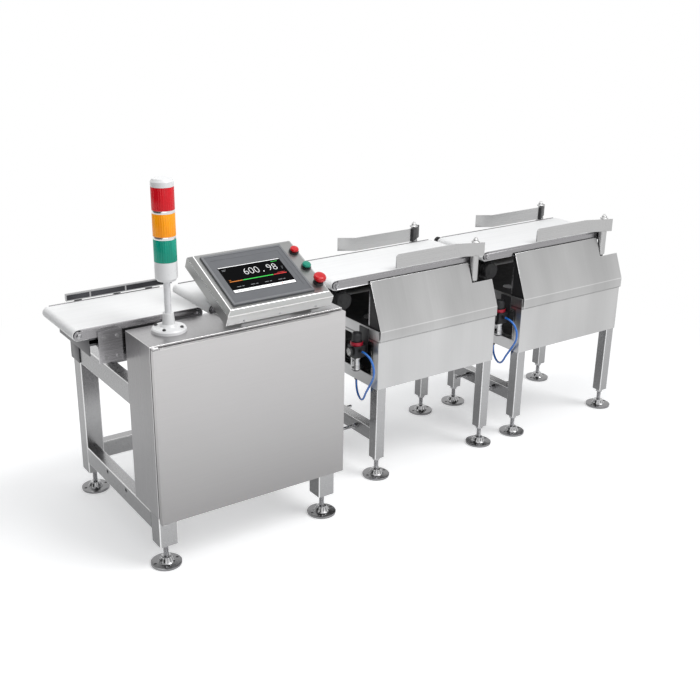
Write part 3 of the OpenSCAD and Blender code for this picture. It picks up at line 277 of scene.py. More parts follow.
M = {
    # Painted shade: the door steel darker towards the bottom.
    "door": brushed("door_steel", (0.58, 0.57, 0.57), "x", 0.36, 0.05, height_shading=(0.18, 0.70, 0.53)),
    # Painted shade and light: the cabinet steel darker on faces square to x, lighter on top.
    "sheet": brushed("sheet_steel", (0.40, 0.395, 0.40), "z", 0.30, 0.06, faces=(0.68, 1.1)),
    # Painted light and shade: the cover steel lighter towards the bottom, with a painted highlight on its
    # fold and a painted shadow under its hem.
    "cover": brushed("cover_steel", (0.41, 0.41, 0.41), "yz", 0.34, 0.06, height_shading=(0.52, 0.72, 1.25),
                     highlight_shadow_lines=((0.556, 1.3, 0.0022), (0.5215, 0.6, 0.0016)), bands=0.10),
    # Painted shade: the panel steel a little darker towards the bottom, with a painted shadow under the
    # cover's hem.
    "panel": brushed("panel_steel", (0.57, 0.57, 0.57), "yz", 0.35, 0.05, height_shading=(0.34, 0.54, 0.94),
                     highlight_shadow_lines=((0.5175, 0.45, 0.0035),), bands=0.07),
    # Painted shade and light: the frame steel darker towards the bottom and on faces square to x, a little
    # lighter on top.
    "frame": brushed("frame_steel", (0.46, 0.46, 0.465), "fine", 0.26, 0.05, height_shading=(0.08, 0.52, 0.74),
                     faces=(0.66, 1.05)),
    "arm": brushed("arm_steel", (0.50, 0.50, 0.50), "x", 0.30, 0.06),
    # Painted light: the conveyor plates lighter towards the bottom.
    "plate": brushed("plate_steel", (0.34, 0.335, 0.345), "x", 0.24, 0.10, height_shading=(0.63, 0.69, 1.6)),
    # Painted shade: the panel box darker on its sides and on its top.
    "hmi": brushed("panel_box_steel", (0.46, 0.465, 0.46), "x", 0.36, 0.06, faces=(0.82, 0.70)),
    "polish": polished("polished_steel", (0.52, 0.52, 0.525), 0.14),
    # Painted highlight: a lighter copy of the steel for the rounded edges of frames, cabinet, panel box and
    # covers.
    "edge": brushed("edge_highlight_steel", (0.74, 0.74, 0.74), "fine", 0.24, 0.04),
    "pad": polished("pad_steel", (0.25, 0.25, 0.255), 0.16),
    "bright": polished("bright_steel", (0.80, 0.80, 0.80), 0.22),
    "rail": brushed("rail_steel", (0.42, 0.42, 0.425), "x", 0.28, 0.10),
    # Painted shade: near-black steel for the shaded inner face of the rail's channel.
    "rail_inner": brushed("rail_shade_steel", (0.055, 0.055, 0.06), "x", 0.26, 0.12, bands=0.45),
    # Partly painted shade: near-black steel for the guards under the infeed's nose.
    "dark_plate": brushed("dark_plate", (0.10, 0.10, 0.105), "y", 0.34, 0.12),
    "rim": plastic("bezel_rim", (0.17, 0.175, 0.185), 0.40, 1300.0, 0.12),
    "turned": polished("turned_steel", (0.42, 0.42, 0.43), 0.24, 700.0),
    "alu": brushed("anodised_aluminium", (0.62, 0.62, 0.64), "x", 0.42, 0.05),
    "belt": belt_cloth("belt_coating"),
    "rubber": plastic("black_rubber", (0.02, 0.02, 0.021), 0.62, 500.0, 0.2),
    "black": plastic("black_plastic", (0.022, 0.022, 0.024), 0.40, 1100.0, 0.14),
    "deck": plastic("black_paint", (0.009, 0.009, 0.010), 0.50, 700.0, 0.10),
    "device": plastic("device_grey", (0.28, 0.29, 0.31), 0.45),
    "drive": plastic("drive_grey", (0.075, 0.08, 0.085), 0.5),
    "beige": plastic("terminal_beige", (0.45, 0.41, 0.33), 0.5),
    "bezel": plastic("bezel_grey", (0.115, 0.12, 0.13), 0.42, 1300.0, 0.14),
    "screen": plastic("screen_black", (0.002, 0.002, 0.0025), 0.35, 60.0, 0.01,
                      specular_ior_level=0.02),
    "white": plastic("tower_white", (0.82, 0.82, 0.82), 0.30, 700.0, 0.04, 0.03, coat=0.3),
    "pole": plastic("pole_paint", (0.76, 0.76, 0.77), 0.25, 400.0, 0.04, 0.04, coat=0.4),
    "red": plastic("button_red", (0.62, 0.006, 0.012), 0.30, 900.0, 0.04, 0.06, coat=0.35,
                   specular_ior_level=0.25),
    "green": plastic("button_green", (0.0, 0.27, 0.18), 0.30, 900.0, 0.04, 0.06, coat=0.35,
                     specular_ior_level=0.25),
    "hose": plastic("hose_blue", (0.02, 0.19, 0.70), 0.24, 500.0, 0.05, 0.08, coat=0.5),
    "ring": plastic("ring_red", (0.45, 0.006, 0.03), 0.35, 900.0, 0.08),
    "lens_red": lens_plastic("lens_red", (0.62, 0.003, 0.012), (0.45, 0.002, 0.008)),
    "lens_amber": lens_plastic("lens_amber", (0.95, 0.36, 0.002), (0.85, 0.25, 0.001)),
    "lens_green": lens_plastic("lens_green", (0.0, 0.34, 0.235), (0.0, 0.22, 0.15)),
    "lit_white": glow("display_white", (0.9, 0.9, 0.9), 0.45),
    "lit_dim": glow("display_dim", (0.16, 0.17, 0.18), 0.35),
    "lit_green": glow("display_green", (0.02, 0.50, 0.05), 0.5),
    "lit_orange": glow("display_orange", (0.60, 0.17, 0.01), 0.4),
    "lit_red": glow("display_red", (0.60, 0.015, 0.015), 0.4),
    "dial": plastic("dial_white", (0.78, 0.78, 0.76), 0.4, 600.0, 0.03, 0.03),
}


# Pieces
def piece(name, mesh, mats, body, replaces=(), smooth=40.0):
    """Links a mesh as a piece that rides on a body."""
    for m in mats if isinstance(mats, (list, tuple)) else [mats]:
        mesh.materials.append(M[m])
    for p in mesh.polygons:
        p.use_smooth = True
    mesh.set_sharp_from_angle(angle=math.radians(smooth))
    o = bpy.data.objects.new(name, mesh)
    SCENE.collection.objects.link(o)
    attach(o, body)
    if replaces:
        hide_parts(*replaces)
    return o


def to_mesh(bm, name):
    bmesh.ops.recalc_face_normals(bm, faces=bm.faces)
    mesh = bpy.data.meshes.new(name)
    bm.to_mesh(mesh)
    bm.free()
    return mesh


def cad_copy(node):
    """A CAD node's own solid, with its flat faces whole again."""
    bm = bmesh.new()
    bm.from_mesh(frame["nodes"][node].data)
    bmesh.ops.remove_doubles(bm, verts=bm.verts, dist=2e-6)
    bmesh.ops.dissolve_limit(bm, angle_limit=math.radians(0.5), verts=bm.verts, edges=bm.edges)
    return bm


def bevel_all(bm, width, segments=2):
    """Rounds every edge, by a width in metres."""
    bmesh.ops.bevel(bm, geom=bm.edges[:], offset=width, segments=segments, profile=0.5, affect="EDGES")


def rounded(node, mat, width, longer, segments=2, edge=None):
    """Stands for a CAD node: its own solid with the outer edges above a length rounded; the rounds take the
    edge material, a lighter steel as a painted highlight, where one is given.
    """
    bm = cad_copy(node)
    sharp = [e for e in bm.edges if len(e.link_faces) == 2 and e.calc_length() > longer
             and e.calc_face_angle_signed(0) > math.radians(38)]
    bent = bmesh.ops.bevel(bm, geom=sharp, offset=width, segments=segments, profile=0.5, affect="EDGES",
                           clamp_overlap=True)
    # Painted highlight: the rounds take the second material, a lighter steel where one is given.
    for f in bent["faces"]:
        f.material_index = 1
    bmesh.ops.triangulate(bm, faces=[f for f in bm.faces if len(f.verts) > 4])
    name = node + "_rounded"
    o = piece(name, to_mesh(bm, name), [mat, edge or mat], BODY_OF[node], (node,), 50.0)
    w = o.modifiers.new("weighted", "WEIGHTED_NORMAL")
    w.keep_sharp = True


def lathe_into(bm, profile, centre, axes, segs=48, wobble=None):
    """Turns a closed outline of (r, h) in millimetres; axes are two radial directions and the axis."""
    u, v, w = axes
    rings = []
    for i in range(segs):
        a = 2 * math.pi * i / segs
        ring = []
        for r, h in profile:
            k = wobble(a, r, h) if wobble else r
            out = u * math.cos(a) + v * math.sin(a)
            ring.append(bm.verts.new(centre + out * (k / 1000) + w * (h / 1000)))
        rings.append(ring)
    n = len(profile)
    for i in range(segs):
        a, b = rings[i], rings[(i + 1) % segs]
        for j in range(n):
            bm.faces.new((a[j], b[j], b[(j + 1) % n], a[(j + 1) % n]))


AXIS = 0.01  # radius of an outline's end on the axis, so that no face has zero area
EX, EY, EZ = Vector((1, 0, 0)), Vector((0, 1, 0)), Vector((0, 0, 1))
UP = (EX, EY, EZ)
ALONG_X = (EY, EZ, EX)
ALONG_Y = (EZ, EX, EY)


def box_into(bm, lo, hi, place=at, mat=0):
    """Adds a box between two corners; place turns local millimetres into the row frame."""
    v = [bm.verts.new(place(*[(lo, hi)[k >> s & 1][s] for s in range(3)])) for k in range(8)]
    for q in ((0, 2, 3, 1), (4, 5, 7, 6), (0, 1, 5, 4), (2, 6, 7, 3), (0, 4, 6, 2), (1, 3, 7, 5)):
        f = bm.faces.new([v[i] for i in q])
        f.material_index = mat


def flank(side, inner, outer):
    """The low and high y of a strip on one side of the middle, with side -1 or 1."""
    return sorted((side * inner, side * outer))


# Air hoses, the route of the part's source
HOSE_R = 4.0
HOSE_ROUTE = ((-34, -149, 476), (-33, -169, 473.5), (-30, -187, 464), (-28, -200, 448.5), (-26, -206, 429.5),
              (-23.5, -204, 409.5), (-20, -196, 391.5), (-16.5, -184.5, 374.5), (-13.5, -172.5, 358.5),
              (-11.5, -160.5, 342), (-9.5, -148.5, 325.5), (-6.5, -136.5, 309.5), (-3, -125, 293),
              (2, -111.5, 278.5), (8, -95, 268.5), (14.5, -76, 265), (20.5, -57.5, 270), (25.5, -42, 282.5),
              (29, -32.5, 300), (30, -30, 320))


def smooth_route(points, n):
    """Curve through the points, as the part's source draws it."""
    p = [Vector(q) for q in points]
    out = []
    for i in range(len(p) - 1):
        a, b, c, d = p[max(i - 1, 0)], p[i], p[i + 1], p[min(i + 2, len(p) - 1)]
        for t in (k / n for k in range(n)):
            out.append(0.5 * (2 * b + (c - a) * t + (2 * a - 5 * b + 4 * c - d) * t * t
                              + (3 * b - a - 3 * c + d) * t ** 3))
    return out + [p[-1]]


for i, s in enumerate(STATIONS, 1):
    route = [at(s + q.x, q.y, q.z) for q in smooth_route(HOSE_ROUTE, 6)]
    curve = bpy.data.curves.new(f"air_hose_{i}_tube", "CURVE")
    curve.dimensions = "3D"
    curve.bevel_depth = HOSE_R / 1000
    curve.bevel_resolution = 5
    curve.use_fill_caps = True
    spline = curve.splines.new("POLY")
    spline.points.add(len(route) - 1)
    for q, r in zip(spline.points, route):
        q.co = (*r, 1)
    curve.materials.append(M["hose"])
    tube = bpy.data.objects.new(f"air_hose_{i}_tube", curve)
    SCENE.collection.objects.link(tube)
    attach(tube, BASE)
    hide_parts(f"air_hose_{i}")
    length = sum((b - a).length for a, b in zip(route, route[1:]))

# Materials of the CAD nodes that stay as they are
KEPT = {
    "coupling_rods": "turned", "hmi_stand": "hmi", "touchscreen": "screen",
    "button_collars": "black", "stop_button": "red", "start_button": "green", "estop_button": "red",
    "tower_base": "white", "tower_pole": "pole", "tower_housing": "white", "conveyor_belts": "belt",
    "drive_motors": "deck", "timing_belts": "rubber", "load_cell": "alu", "fasteners": "polish",
    "foot_pads": "pad", "door_seal": "rubber", "sort_decks": "deck", "air_cylinders": "alu",
    "air_regulators": "black", "guide_rail": "rail",
}
for n in RECORD["behaviour"]["bodies"]:
    turns = n.endswith(("_roller", "_roller_1", "_roller_2")) or n.startswith("motor_pulley")
    if turns or n.startswith(("front_rod", "rear_rod")):
        KEPT[n] = "turned"
for n, m in KEPT.items():
    for slot in frame["nodes"][n].material_slots:
        slot.material = M[m]

# Sheet metal, tubes and mouldings with rounded edges, the rounds of some in a lighter steel as a painted
# highlight
rounded("main_frame", "frame", 0.0030, 0.085, 3, "edge")
rounded("sort_frames", "frame", 0.0025, 0.085, 3, "edge")
rounded("cabinet_body", "sheet", 0.0022, 0.06, 2, "edge")
rounded("cabinet_door", "door", 0.0020, 0.03)
rounded("hmi_housing", "hmi", 0.0018, 0.02, 2, "edge")
rounded("hmi_bezel", "bezel", 0.0012, 0.02)
rounded("sort_covers", "cover", 0.0008, 0.02, 2, "edge")
rounded("sort_panels", "panel", 0.0006, 0.05)
for n in ("infeed_conveyor_frame", "weigh_conveyor_frame", "sort_conveyor_frames"):
    rounded(n, "plate", 0.0006, 0.02)
for n in ("front_arm_1", "rear_arm_1", "front_arm_2", "rear_arm_2"):
    rounded(n, "arm", 0.0006, 0.012)

# Feet: fluted hubs over the pads, threaded stems with lock nuts
FEET_MAIN = [(30, -290), (602, -290), (30, 280), (602, 280)]
FEET_SORT = [(s + u, v) for s in STATIONS for u in (20, 510) for v in (-175, 175)]
STEM_R = 8.0
HUB = ((26.0, 9.3), (23.4, 13.4), (19.6, 20.0), (16.9, 26.4), (14.6, 27.6), (9.0, 27.6), (9.0, 9.3))
FLUTES, FLUTE_DEPTH = 12, 3.4


def fluted(a, r, h):
    return r - (FLUTE_DEPTH if 12 < h < 24 else 0.0) * (0.5 - 0.5 * math.cos(FLUTES * a))


bm = bmesh.new()
for x, y in FEET_MAIN + FEET_SORT:
    lathe_into(bm, HUB, at(x, y, 0), UP, 96, fluted)
piece("foot_hubs", to_mesh(bm, "foot_hubs"), "polish", BASE, smooth=30)


def thread_into(bm, centre, z0, z1, major, minor, pitch, segs=20):
    """Threaded bar: one ridge wound up the stem, with both ends closed."""
    ridge = ((minor, 0.0), (major, pitch * 0.36), (major, pitch * 0.52), (minor, pitch * 0.9))
    steps = int((z1 - z0) / pitch * segs)
    turns = []
    for i in range(steps + 1):
        a = 2 * math.pi * i / segs
        z = z0 + pitch * i / segs
        d = Vector((math.cos(a), math.sin(a), 0))
        turns.append([bm.verts.new(centre + d * (r / 1000) + EZ * ((z + h) / 1000)) for r, h in ridge])
    for a, b in zip(turns, turns[1:]):
        for j in range(3):
            bm.faces.new((a[j], b[j], b[j + 1], a[j + 1]))
        bm.faces.new((a[3], b[3], b[0], a[0]))
    bm.faces.new(turns[0])
    bm.faces.new(turns[-1][::-1])
    core, low, high = minor + 0.05, z0 - 6, z1 + 24
    lathe_into(bm, ((AXIS, low), (core, low), (core, high), (AXIS, high)), centre, UP, segs)


def nut_into(bm, centre, z0, z1, across, bore):
    """Hexagon nut with chamfered corners."""
    flat, half, chamfer = across / 2, math.pi / 6, 1.6
    corner = flat * 1.1547

    def hexed(a, r, h):
        return r if r <= flat else min(r, flat / math.cos((a + half) % (2 * half) - half))

    lathe_into(bm, ((bore, z0), (flat - 0.6, z0), (corner, z0 + chamfer), (corner, z1 - chamfer),
                    (flat - 0.6, z1), (bore, z1)), centre, UP, 48, hexed)


bm = bmesh.new()
for feet, top in ((FEET_MAIN, 76.0), (FEET_SORT, 74.0)):
    for x, y in feet:
        thread_into(bm, at(x, y, 0), 20.0, top + 2.0, STEM_R, STEM_R - 1.1, 2.0)
        nut_into(bm, at(x, y, 0), top - 13.0, top - 0.1, 23.9, STEM_R - 1.0)
piece("foot_threads", to_mesh(bm, "foot_threads"), "turned", BASE, ("foot_stems",), 30)

# Signal tower
TOWER = (108.0, -222.0)
CAB_TOP = 722.0
LENS_R, LENS_H = 33.0, 65.0
LENS = ((30.0, 0.05), (32.2, 0.05), (LENS_R, 1.0), (LENS_R, LENS_H - 1.0), (32.2, LENS_H - 0.05),
        (30.0, LENS_H - 0.05))
RING = ((31.0, 0.3), (32.6, 0.3), (32.9, 1.2), (32.9, 7.8), (32.6, 8.7), (31.0, 8.7))
TOWER_SCREW = ((AXIS, 12.4), (5.2, 12.4), (5.2, 15.4), (4.2, 17.2), (2.4, 17.8), (2.2, 16.6), (AXIS, 16.6))
SCREW_CIRCLE = 40.0


def lens_ribs(a, r, h):
    return r - 0.9 * (0.5 + 0.5 * math.cos(30 * a)) if r == LENS_R else r


for name, z in (("lens_green", 932.0), ("lens_amber", 1006.0), ("lens_red", 1080.0)):
    bm = bmesh.new()
    lathe_into(bm, LENS, at(*TOWER, z), UP, 240, lens_ribs)
    piece(name + "_ribbed", to_mesh(bm, name), name, BASE, (name,), 50)
bm = bmesh.new()
for z in (997.0, 1071.0):
    lathe_into(bm, RING, at(*TOWER, z), UP, 96)
piece("tower_rings", to_mesh(bm, "tower_rings"), "bright", BASE)
bm = bmesh.new()
for i in range(4):
    a = math.radians(45 + 90 * i)
    x, y = TOWER[0] + SCREW_CIRCLE * math.cos(a), TOWER[1] + SCREW_CIRCLE * math.sin(a)
    lathe_into(bm, TOWER_SCREW, at(x, y, CAB_TOP), UP, 24)
piece("tower_screws", to_mesh(bm, "tower_screws"), "black", BASE)

# Operator panel: print on the display
TILT = math.radians(25)
PANEL_O = (255.0, -305.0, 778.0)
EA = Vector((0, math.cos(TILT), math.sin(TILT)))
EN = Vector((0, -math.sin(TILT), math.cos(TILT)))
SCREEN_TOP = 4.6
ICON_Z = SCREEN_TOP + 0.15
PANEL_SCREW = ((AXIS, -1.0), (3.6, -1.0), (3.6, 0.8), (2.8, 1.9), (1.6, 2.1), (1.5, 1.2), (AXIS, 1.2))


def panel(x, a, n):
    """Millimetres along the sloped face, up it and out of it, to the row frame."""
    return at(*PANEL_O) + (EX * x + EA * a + EN * n) / 1000


bm = bmesh.new()
LIT = ["lit_white", "lit_dim", "lit_green", "lit_orange", "lit_red"]
PRINT = [
    # x0, x1, a0, a1, index in LIT
    (58.5, 273.5, 176.0, 178.6, 0),
    (58.5, 273.5, 61.4, 73.0, 0),
    (66.0, 110.0, 109.0, 112.0, 3),
    (111.0, 218.0, 109.0, 112.4, 2),
    (219.0, 266.0, 109.0, 112.0, 4),
    (66.0, 80.0, 165.0, 167.0, 1),
    (66.0, 76.0, 160.5, 162.5, 1),
    (236.0, 262.0, 115.6, 117.2, 4),
    (66.0, 74.0, 116.5, 118.1, 3),
    (240.0, 262.0, 168.0, 170.0, 2),
]
for k in range(4):
    PRINT.append((78.0 + 48 * k, 92.0 + 48 * k, 84.0, 86.6, 1))
    PRINT.append((96.0 + 48 * k, 103.0 + 48 * k, 84.0, 86.6, 1))
for x0, x1, a0, a1, m in PRINT:
    box_into(bm, (x0, a0, SCREEN_TOP), (x1, a1, ICON_Z), panel, m)
for k in range(5):
    x = 72.0 + 38 * k
    box_into(bm, (x, 65.0, ICON_Z), (x + 4.0, 69.5, ICON_Z + 0.1), panel, 4 if k == 4 else 1)
    box_into(bm, (x + 6.5, 66.4, ICON_Z), (x + 18.0, 68.2, ICON_Z + 0.1), panel, 1)
piece("display_print", to_mesh(bm, "display_print"), LIT, BASE)


def words(name, text, size, x, a, mat):
    """Raised figures on the display, a little narrowed and thinned."""
    font = bpy.data.curves.new(name, "FONT")
    font.body = text
    font.size = size / 1000
    font.extrude = 0.00008
    font.offset = -0.0011
    font.align_x = "CENTER"
    o = bpy.data.objects.new(name, font)
    turn = Matrix((EX, EA, EN)).transposed().to_4x4()
    narrow = Matrix.Diagonal((0.9, 1, 1, 1))
    o.matrix_world = Matrix.Translation(panel(x, a, SCREEN_TOP + 0.1)) @ turn @ narrow
    SCENE.collection.objects.link(o)
    bpy.context.view_layer.update()
    mesh = bpy.data.meshes.new_from_object(o.evaluated_get(bpy.context.evaluated_depsgraph_get()))
    mesh.transform(o.matrix_world)
    bpy.data.objects.remove(o)
    mesh.materials.clear()
    piece(name, mesh, mat, BASE)


words("display_whole", "600", 42, 158, 131, "lit_white")
words("display_parts", "98", 42, 231, 131, "lit_white")
words("display_unit", "g", 22, 264, 133, "lit_dim")
bm = bmesh.new()
box_into(bm, (195.0, 131.0, SCREEN_TOP), (198.6, 134.6, SCREEN_TOP + 0.2), panel)
piece("display_point", to_mesh(bm, "display_point"), "lit_white", BASE)

# Screws along the front wall of the operator panel
bm = bmesh.new()
for x in (60.0, 186.0, 312.0):
    lathe_into(bm, PANEL_SCREW, panel(x, -13.0, -40.0), (EX, EN, -EA), 24)
piece("panel_screws", to_mesh(bm, "panel_screws"), "turned", BASE)

# Step of the screen frame
bm = bmesh.new()
for lo, hi in (((28.2, 12.2), (311.8, 20.0)), ((28.2, 232.0), (311.8, 239.8)),
               ((28.2, 19.0), (36.0, 233.0)), ((304.0, 19.0), (311.8, 233.0))):
    box_into(bm, (*lo, 5.0), (*hi, 7.4), panel)
bevel_all(bm, 0.0009)
piece("bezel_rim", to_mesh(bm, "bezel_rim"), "rim", BASE)

# Inside the cabinet: each device in its own colour, with vents, terminals and switches on its front
ALU, TURNED, DRIVE, DEVICE, WHITE, BEIGE, BLACK, GREEN, LAMP, DIM = range(10)
INSIDE = ["alu", "turned", "drive", "device", "white", "beige", "black", "green", "lit_green", "lit_dim"]
bm = cad_copy("control_panel")
seen, devices = set(), []
for first in list(bm.faces):
    if first in seen:
        continue
    seen.add(first)
    group = [first]
    for f in group:
        for g in (g for e in f.edges for g in e.link_faces if g not in seen):
            seen.add(g)
            group.append(g)
    pts = [v.co for f in group for v in f.verts]
    lo = Vector([min(q[k] for q in pts) for k in range(3)])
    w, d, h = [1000 * (max(q[k] for q in pts) - lo[k]) for k in range(3)]
    # Told apart by size: plate, stand-offs, drives, terminal strip, controller, supply, breakers
    kind = (ALU if d < 4 else TURNED if w < 20 else DRIVE if h > 120 else BEIGE if w > 400
            else DEVICE if w > 200 else ALU if w > 100 else WHITE)
    for f in group:
        f.material_index = kind
    devices.append((lo, w, d, h, kind))


def rows(place, mat, x, y, z, count, step, lift=False):
    """A row of equal boxes; step runs along x, or along z where lift is set."""
    for k in range(count):
        sx, sz = (0, step * k) if lift else (step * k, 0)
        box_into(bm, (x[0] + sx, y[0], z[0] + sz), (x[1] + sx, y[1], z[1] + sz), place, mat)


for lo, w, d, h, kind in devices:
    front = lambda x, y, z: Vector((lo.x + x / 1000, lo.y - y / 1000, lo.z + z / 1000))
    if kind == DRIVE:
        rows(front, BLACK, (8, 62), (0, 0.6), (116, 117.6), 4, 3, True)
        rows(front, BLACK, (10, 60), (0, 1.2), (70, 112), 1, 0)
        rows(front, DIM, (16, 54), (1.2, 1.6), (93, 107), 1, 0)
        rows(front, DEVICE, (14, 24), (1.2, 2.2), (75, 83), 3, 16)
        rows(front, DRIVE, (4, 66), (0, 2), (24, 64), 1, 0)
        rows(front, GREEN, (6, 14), (0, 4), (6, 18), 6, 10)
    elif kind == DEVICE:
        for z in (4, 70):
            rows(front, GREEN, (4, 226), (0, 8), (z, z + 16), 1, 0)
            rows(front, BLACK, (8, 13), (8, 8.4), (z + 3, z + 13), 22, 10)
        rows(front, DRIVE, (30, 200), (0, 1), (30, 60), 1, 0)
        rows(front, LAMP, (40, 43), (1, 1.5), (50, 53), 16, 6)
    elif kind == ALU and d > 4:
        rows(front, BLACK, (10, 100), (0, 0.5), (34, 38), 8, 9, True)
        rows(front, BLACK, (6, 104), (0, 6), (6, 24), 1, 0)
        rows(front, TURNED, (12, 20), (6, 7), (11, 19), 7, 13)
    elif kind == WHITE:
        rows(front, WHITE, (3, 42), (0, 6), (26, 60), 1, 0)
        rows(front, BLACK, (6, 19), (6, 14), (38, 50), 2, 20)
        for z in (8, 70):
            rows(front, BLACK, (10, 16), (0, 0.8), (z, z + 6), 2, 19)
    elif kind == BEIGE:
        rows(front, BLACK, (7.2, 8), (0, 0.6), (2, 48), 59, 8)
        for z in (8, 38):
            rows(front, TURNED, (2.2, 5.8), (0, 0.8), (z, z + 4), 60, 8)
    elif kind == ALU:
        for z in (95, 233):
            rows(front, DEVICE, (30, w - 12), (0, 45), (z, z + 36), 1, 0)
            rows(front, BLACK, (34, 40), (45, 45.4), (z + 2, z + 13), 39, 12)
            rows(front, BLACK, (34, 40), (45, 45.4), (z + 23, z + 34), 39, 12)
piece("control_devices", to_mesh(bm, "control_devices"), INSIDE, BASE,
      ("control_panel",))

# Conveyors: edge strips beside the belts and shaft ends on the rollers
WRAP, ROLL_Z = 17.3, 722.7
SIDE_IN, SIDE_OUT = 127.0, 133.0
STRIP_END, STRIP_LOW, STRIP_TOP = WRAP + 6, 732.0, 741.4
PLAY = 0.6
CONVEYORS = (  # name, left end, length, ending of the rollers' names
    ("infeed", -150.0, 418.0, ""), ("weigh", 288.0, 437.0, ""),
    ("sort", 745.0, 645.0, "_1"), ("sort", 1410.0, 645.0, "_2"),
)
bm = bmesh.new()
for _, x0, length, _ in CONVEYORS:
    for side in (-1, 1):
        lo, hi = flank(side, SIDE_IN + PLAY, SIDE_OUT - PLAY)
        box_into(bm, (x0 + STRIP_END, lo, STRIP_LOW), (x0 + length - STRIP_END, hi, STRIP_TOP))
bevel_all(bm, 0.0012)
piece("belt_edge_strips", to_mesh(bm, "belt_edge_strips"), "plate", BASE)
CAP = ((AXIS, -1.0), (7.6, -1.0), (8.4, 0.0), (8.4, 3.0), (7.0, 4.6), (3.4, 5.0), (3.0, 3.8), (AXIS, 3.8))
for name, x0, length, tail in CONVEYORS:
    driven_left = name == "sort"
    left, right = x0 + WRAP, x0 + length - WRAP
    for kind, x in zip(("drive", "tail"), (left, right) if driven_left else (right, left)):
        body = f"{name}_{kind}_roller{tail}"
        bm = bmesh.new()
        lathe_into(bm, CAP, at(x, -SIDE_OUT - PLAY, ROLL_Z), (EX, EZ, -EY), 6)
        if not (driven_left and kind == "drive"):
            lathe_into(bm, CAP, at(x, SIDE_OUT + PLAY, ROLL_Z), (EX, EZ, EY), 6)
        piece(body + "_caps", to_mesh(bm, body + "_caps"), "turned", body, smooth=20)

# Guide rail: inner face of its channel in near-black steel as painted shade, between bright lips and the
# seams of its lengths
RAIL_FOOT_TOP = 0.7441
CHANNEL_LOW, CHANNEL_TOP, SEAM = 747.0, 763.0, 2.5
pts = [v.co for v in frame["nodes"]["guide_rail"].data.vertices if v.co.z > RAIL_FOOT_TOP]
rail_x0 = min(q.x for q in pts)
rail_l = 1000 * (max(q.x for q in pts) - rail_x0)
rail_face = min(q.y for q in pts)


def rail(x, y, z):
    return Vector((rail_x0 + x / 1000, rail_face - y / 1000, z / 1000))


bm = bmesh.new()
for a, b in ((0.0, 0.22), (0.22, 0.55), (0.55, 1.0)):
    box_into(bm, (a * rail_l + SEAM, -0.4, CHANNEL_LOW), (b * rail_l - SEAM, 0.5, CHANNEL_TOP), rail)
bevel_all(bm, 0.0003, 1)
piece("rail_channel", to_mesh(bm, "rail_channel"), "rail_inner", BASE)

# Infeed end: guard under the nose and plate on the rear leg, in near-black steel, partly painted shade under
# the belt's nose
NOSE_X0, NOSE_X1, NOSE_Z = -102.0, -70.0, 703.0
LEG_PLATE_LOW, LEG_PLATE_TOP = 488.0, 566.0
bm = bmesh.new()
box_into(bm, (NOSE_X0, -124.0, 652.0), (NOSE_X0 + 3.0, 124.0, NOSE_Z))
box_into(bm, (NOSE_X0 + 2.0, -124.0, NOSE_Z - 3.0), (NOSE_X1, 124.0, NOSE_Z))
for side in (-1, 1):
    lo, hi = flank(side, 123.5, 126.9)
    box_into(bm, (NOSE_X0, lo, 684.0), (NOSE_X1, hi, NOSE_Z))
    lo, hi = flank(side, 125.4, 126.9)
    box_into(bm, (NOSE_X0, lo, 690.0), (NOSE_X1, hi, 714.0))
box_into(bm, (-4.0, 246.0, LEG_PLATE_LOW), (-0.3, 318.0, LEG_PLATE_TOP))
box_into(bm, (-4.0, 314.0, LEG_PLATE_LOW), (22.0, 318.0, LEG_PLATE_TOP))
bevel_all(bm, 0.0005)
piece("infeed_guards", to_mesh(bm, "infeed_guards"), "dark_plate", BASE)

# Motors: cooling fins and fan cover
MOTOR_X, MOTOR_Z = (808.3, 1473.3), 656.7
FIN = ((30.0, 0.0), (33.0, 0.0), (33.6, 0.6), (33.6, 1.8), (33.0, 2.4), (30.0, 2.4))
FAN_COVER = ((AXIS, -6.0), (13.0, -5.6), (14.0, -4.4), (18.0, -4.8), (19.0, -3.6), (23.0, -4.0), (24.0, -2.8),
             (28.0, -2.6), (31.8, 1.0), (32.4, 4.0), (32.4, 9.0), (30.5, 9.0), (30.5, 3.0), (AXIS, 3.0))
FINS, FIN_STEP = 11, 11
bm = bmesh.new()
for x in MOTOR_X:
    for k in range(FINS):
        lathe_into(bm, FIN, at(x, -100 + FIN_STEP * k, MOTOR_Z), ALONG_Y)
    lathe_into(bm, FAN_COVER, at(x, -110.0, MOTOR_Z), ALONG_Y)
piece("motor_fins", to_mesh(bm, "motor_fins"), "deck", BASE)

# Filter regulators: red ring, guard of the bowl, gauge and ribbed knob
REG_U, REG_V = -34.0, -115.0
RED_RING = ((19.5, 492.6), (21.6, 492.6), (22.4, 494.0), (22.4, 503.5), (21.6, 505.0), (19.5, 505.0))
BOWL_GUARD = ((17.0, 404.0), (18.6, 404.0), (19.2, 405.5), (19.2, 412.0), (18.6, 413.0), (18.6, 440.0),
              (19.4, 441.0), (19.4, 449.0), (17.0, 449.0))
GAUGE_CASE = ((13.6, -1.6), (15.2, -1.6), (15.8, -0.8), (15.8, 8.0), (15.2, 9.0), (13.6, 9.0))
DIAL = ((AXIS, -0.6), (13.6, -0.6), (13.6, 0.2), (AXIS, 0.2))
KNOB = ((AXIS, 498.2), (10.9, 498.2), (10.9, 507.2), (16.2, 507.2), (17.0, 508.4), (17.0, 512.0),
        (17.0, 530.0), (16.6, 533.0), (14.0, 537.2), (11.0, 538.0), (10.4, 537.0), (AXIS, 537.0))
TICKS, TICK_FIRST, TICK_STEP, POINTER = 9, -130, 32.5, 20


def knob_ribs(a, r, h):
    return r - (0.9 if 16.0 < r and 510 < h < 531 else 0.0) * (0.5 - 0.5 * math.cos(30 * a))


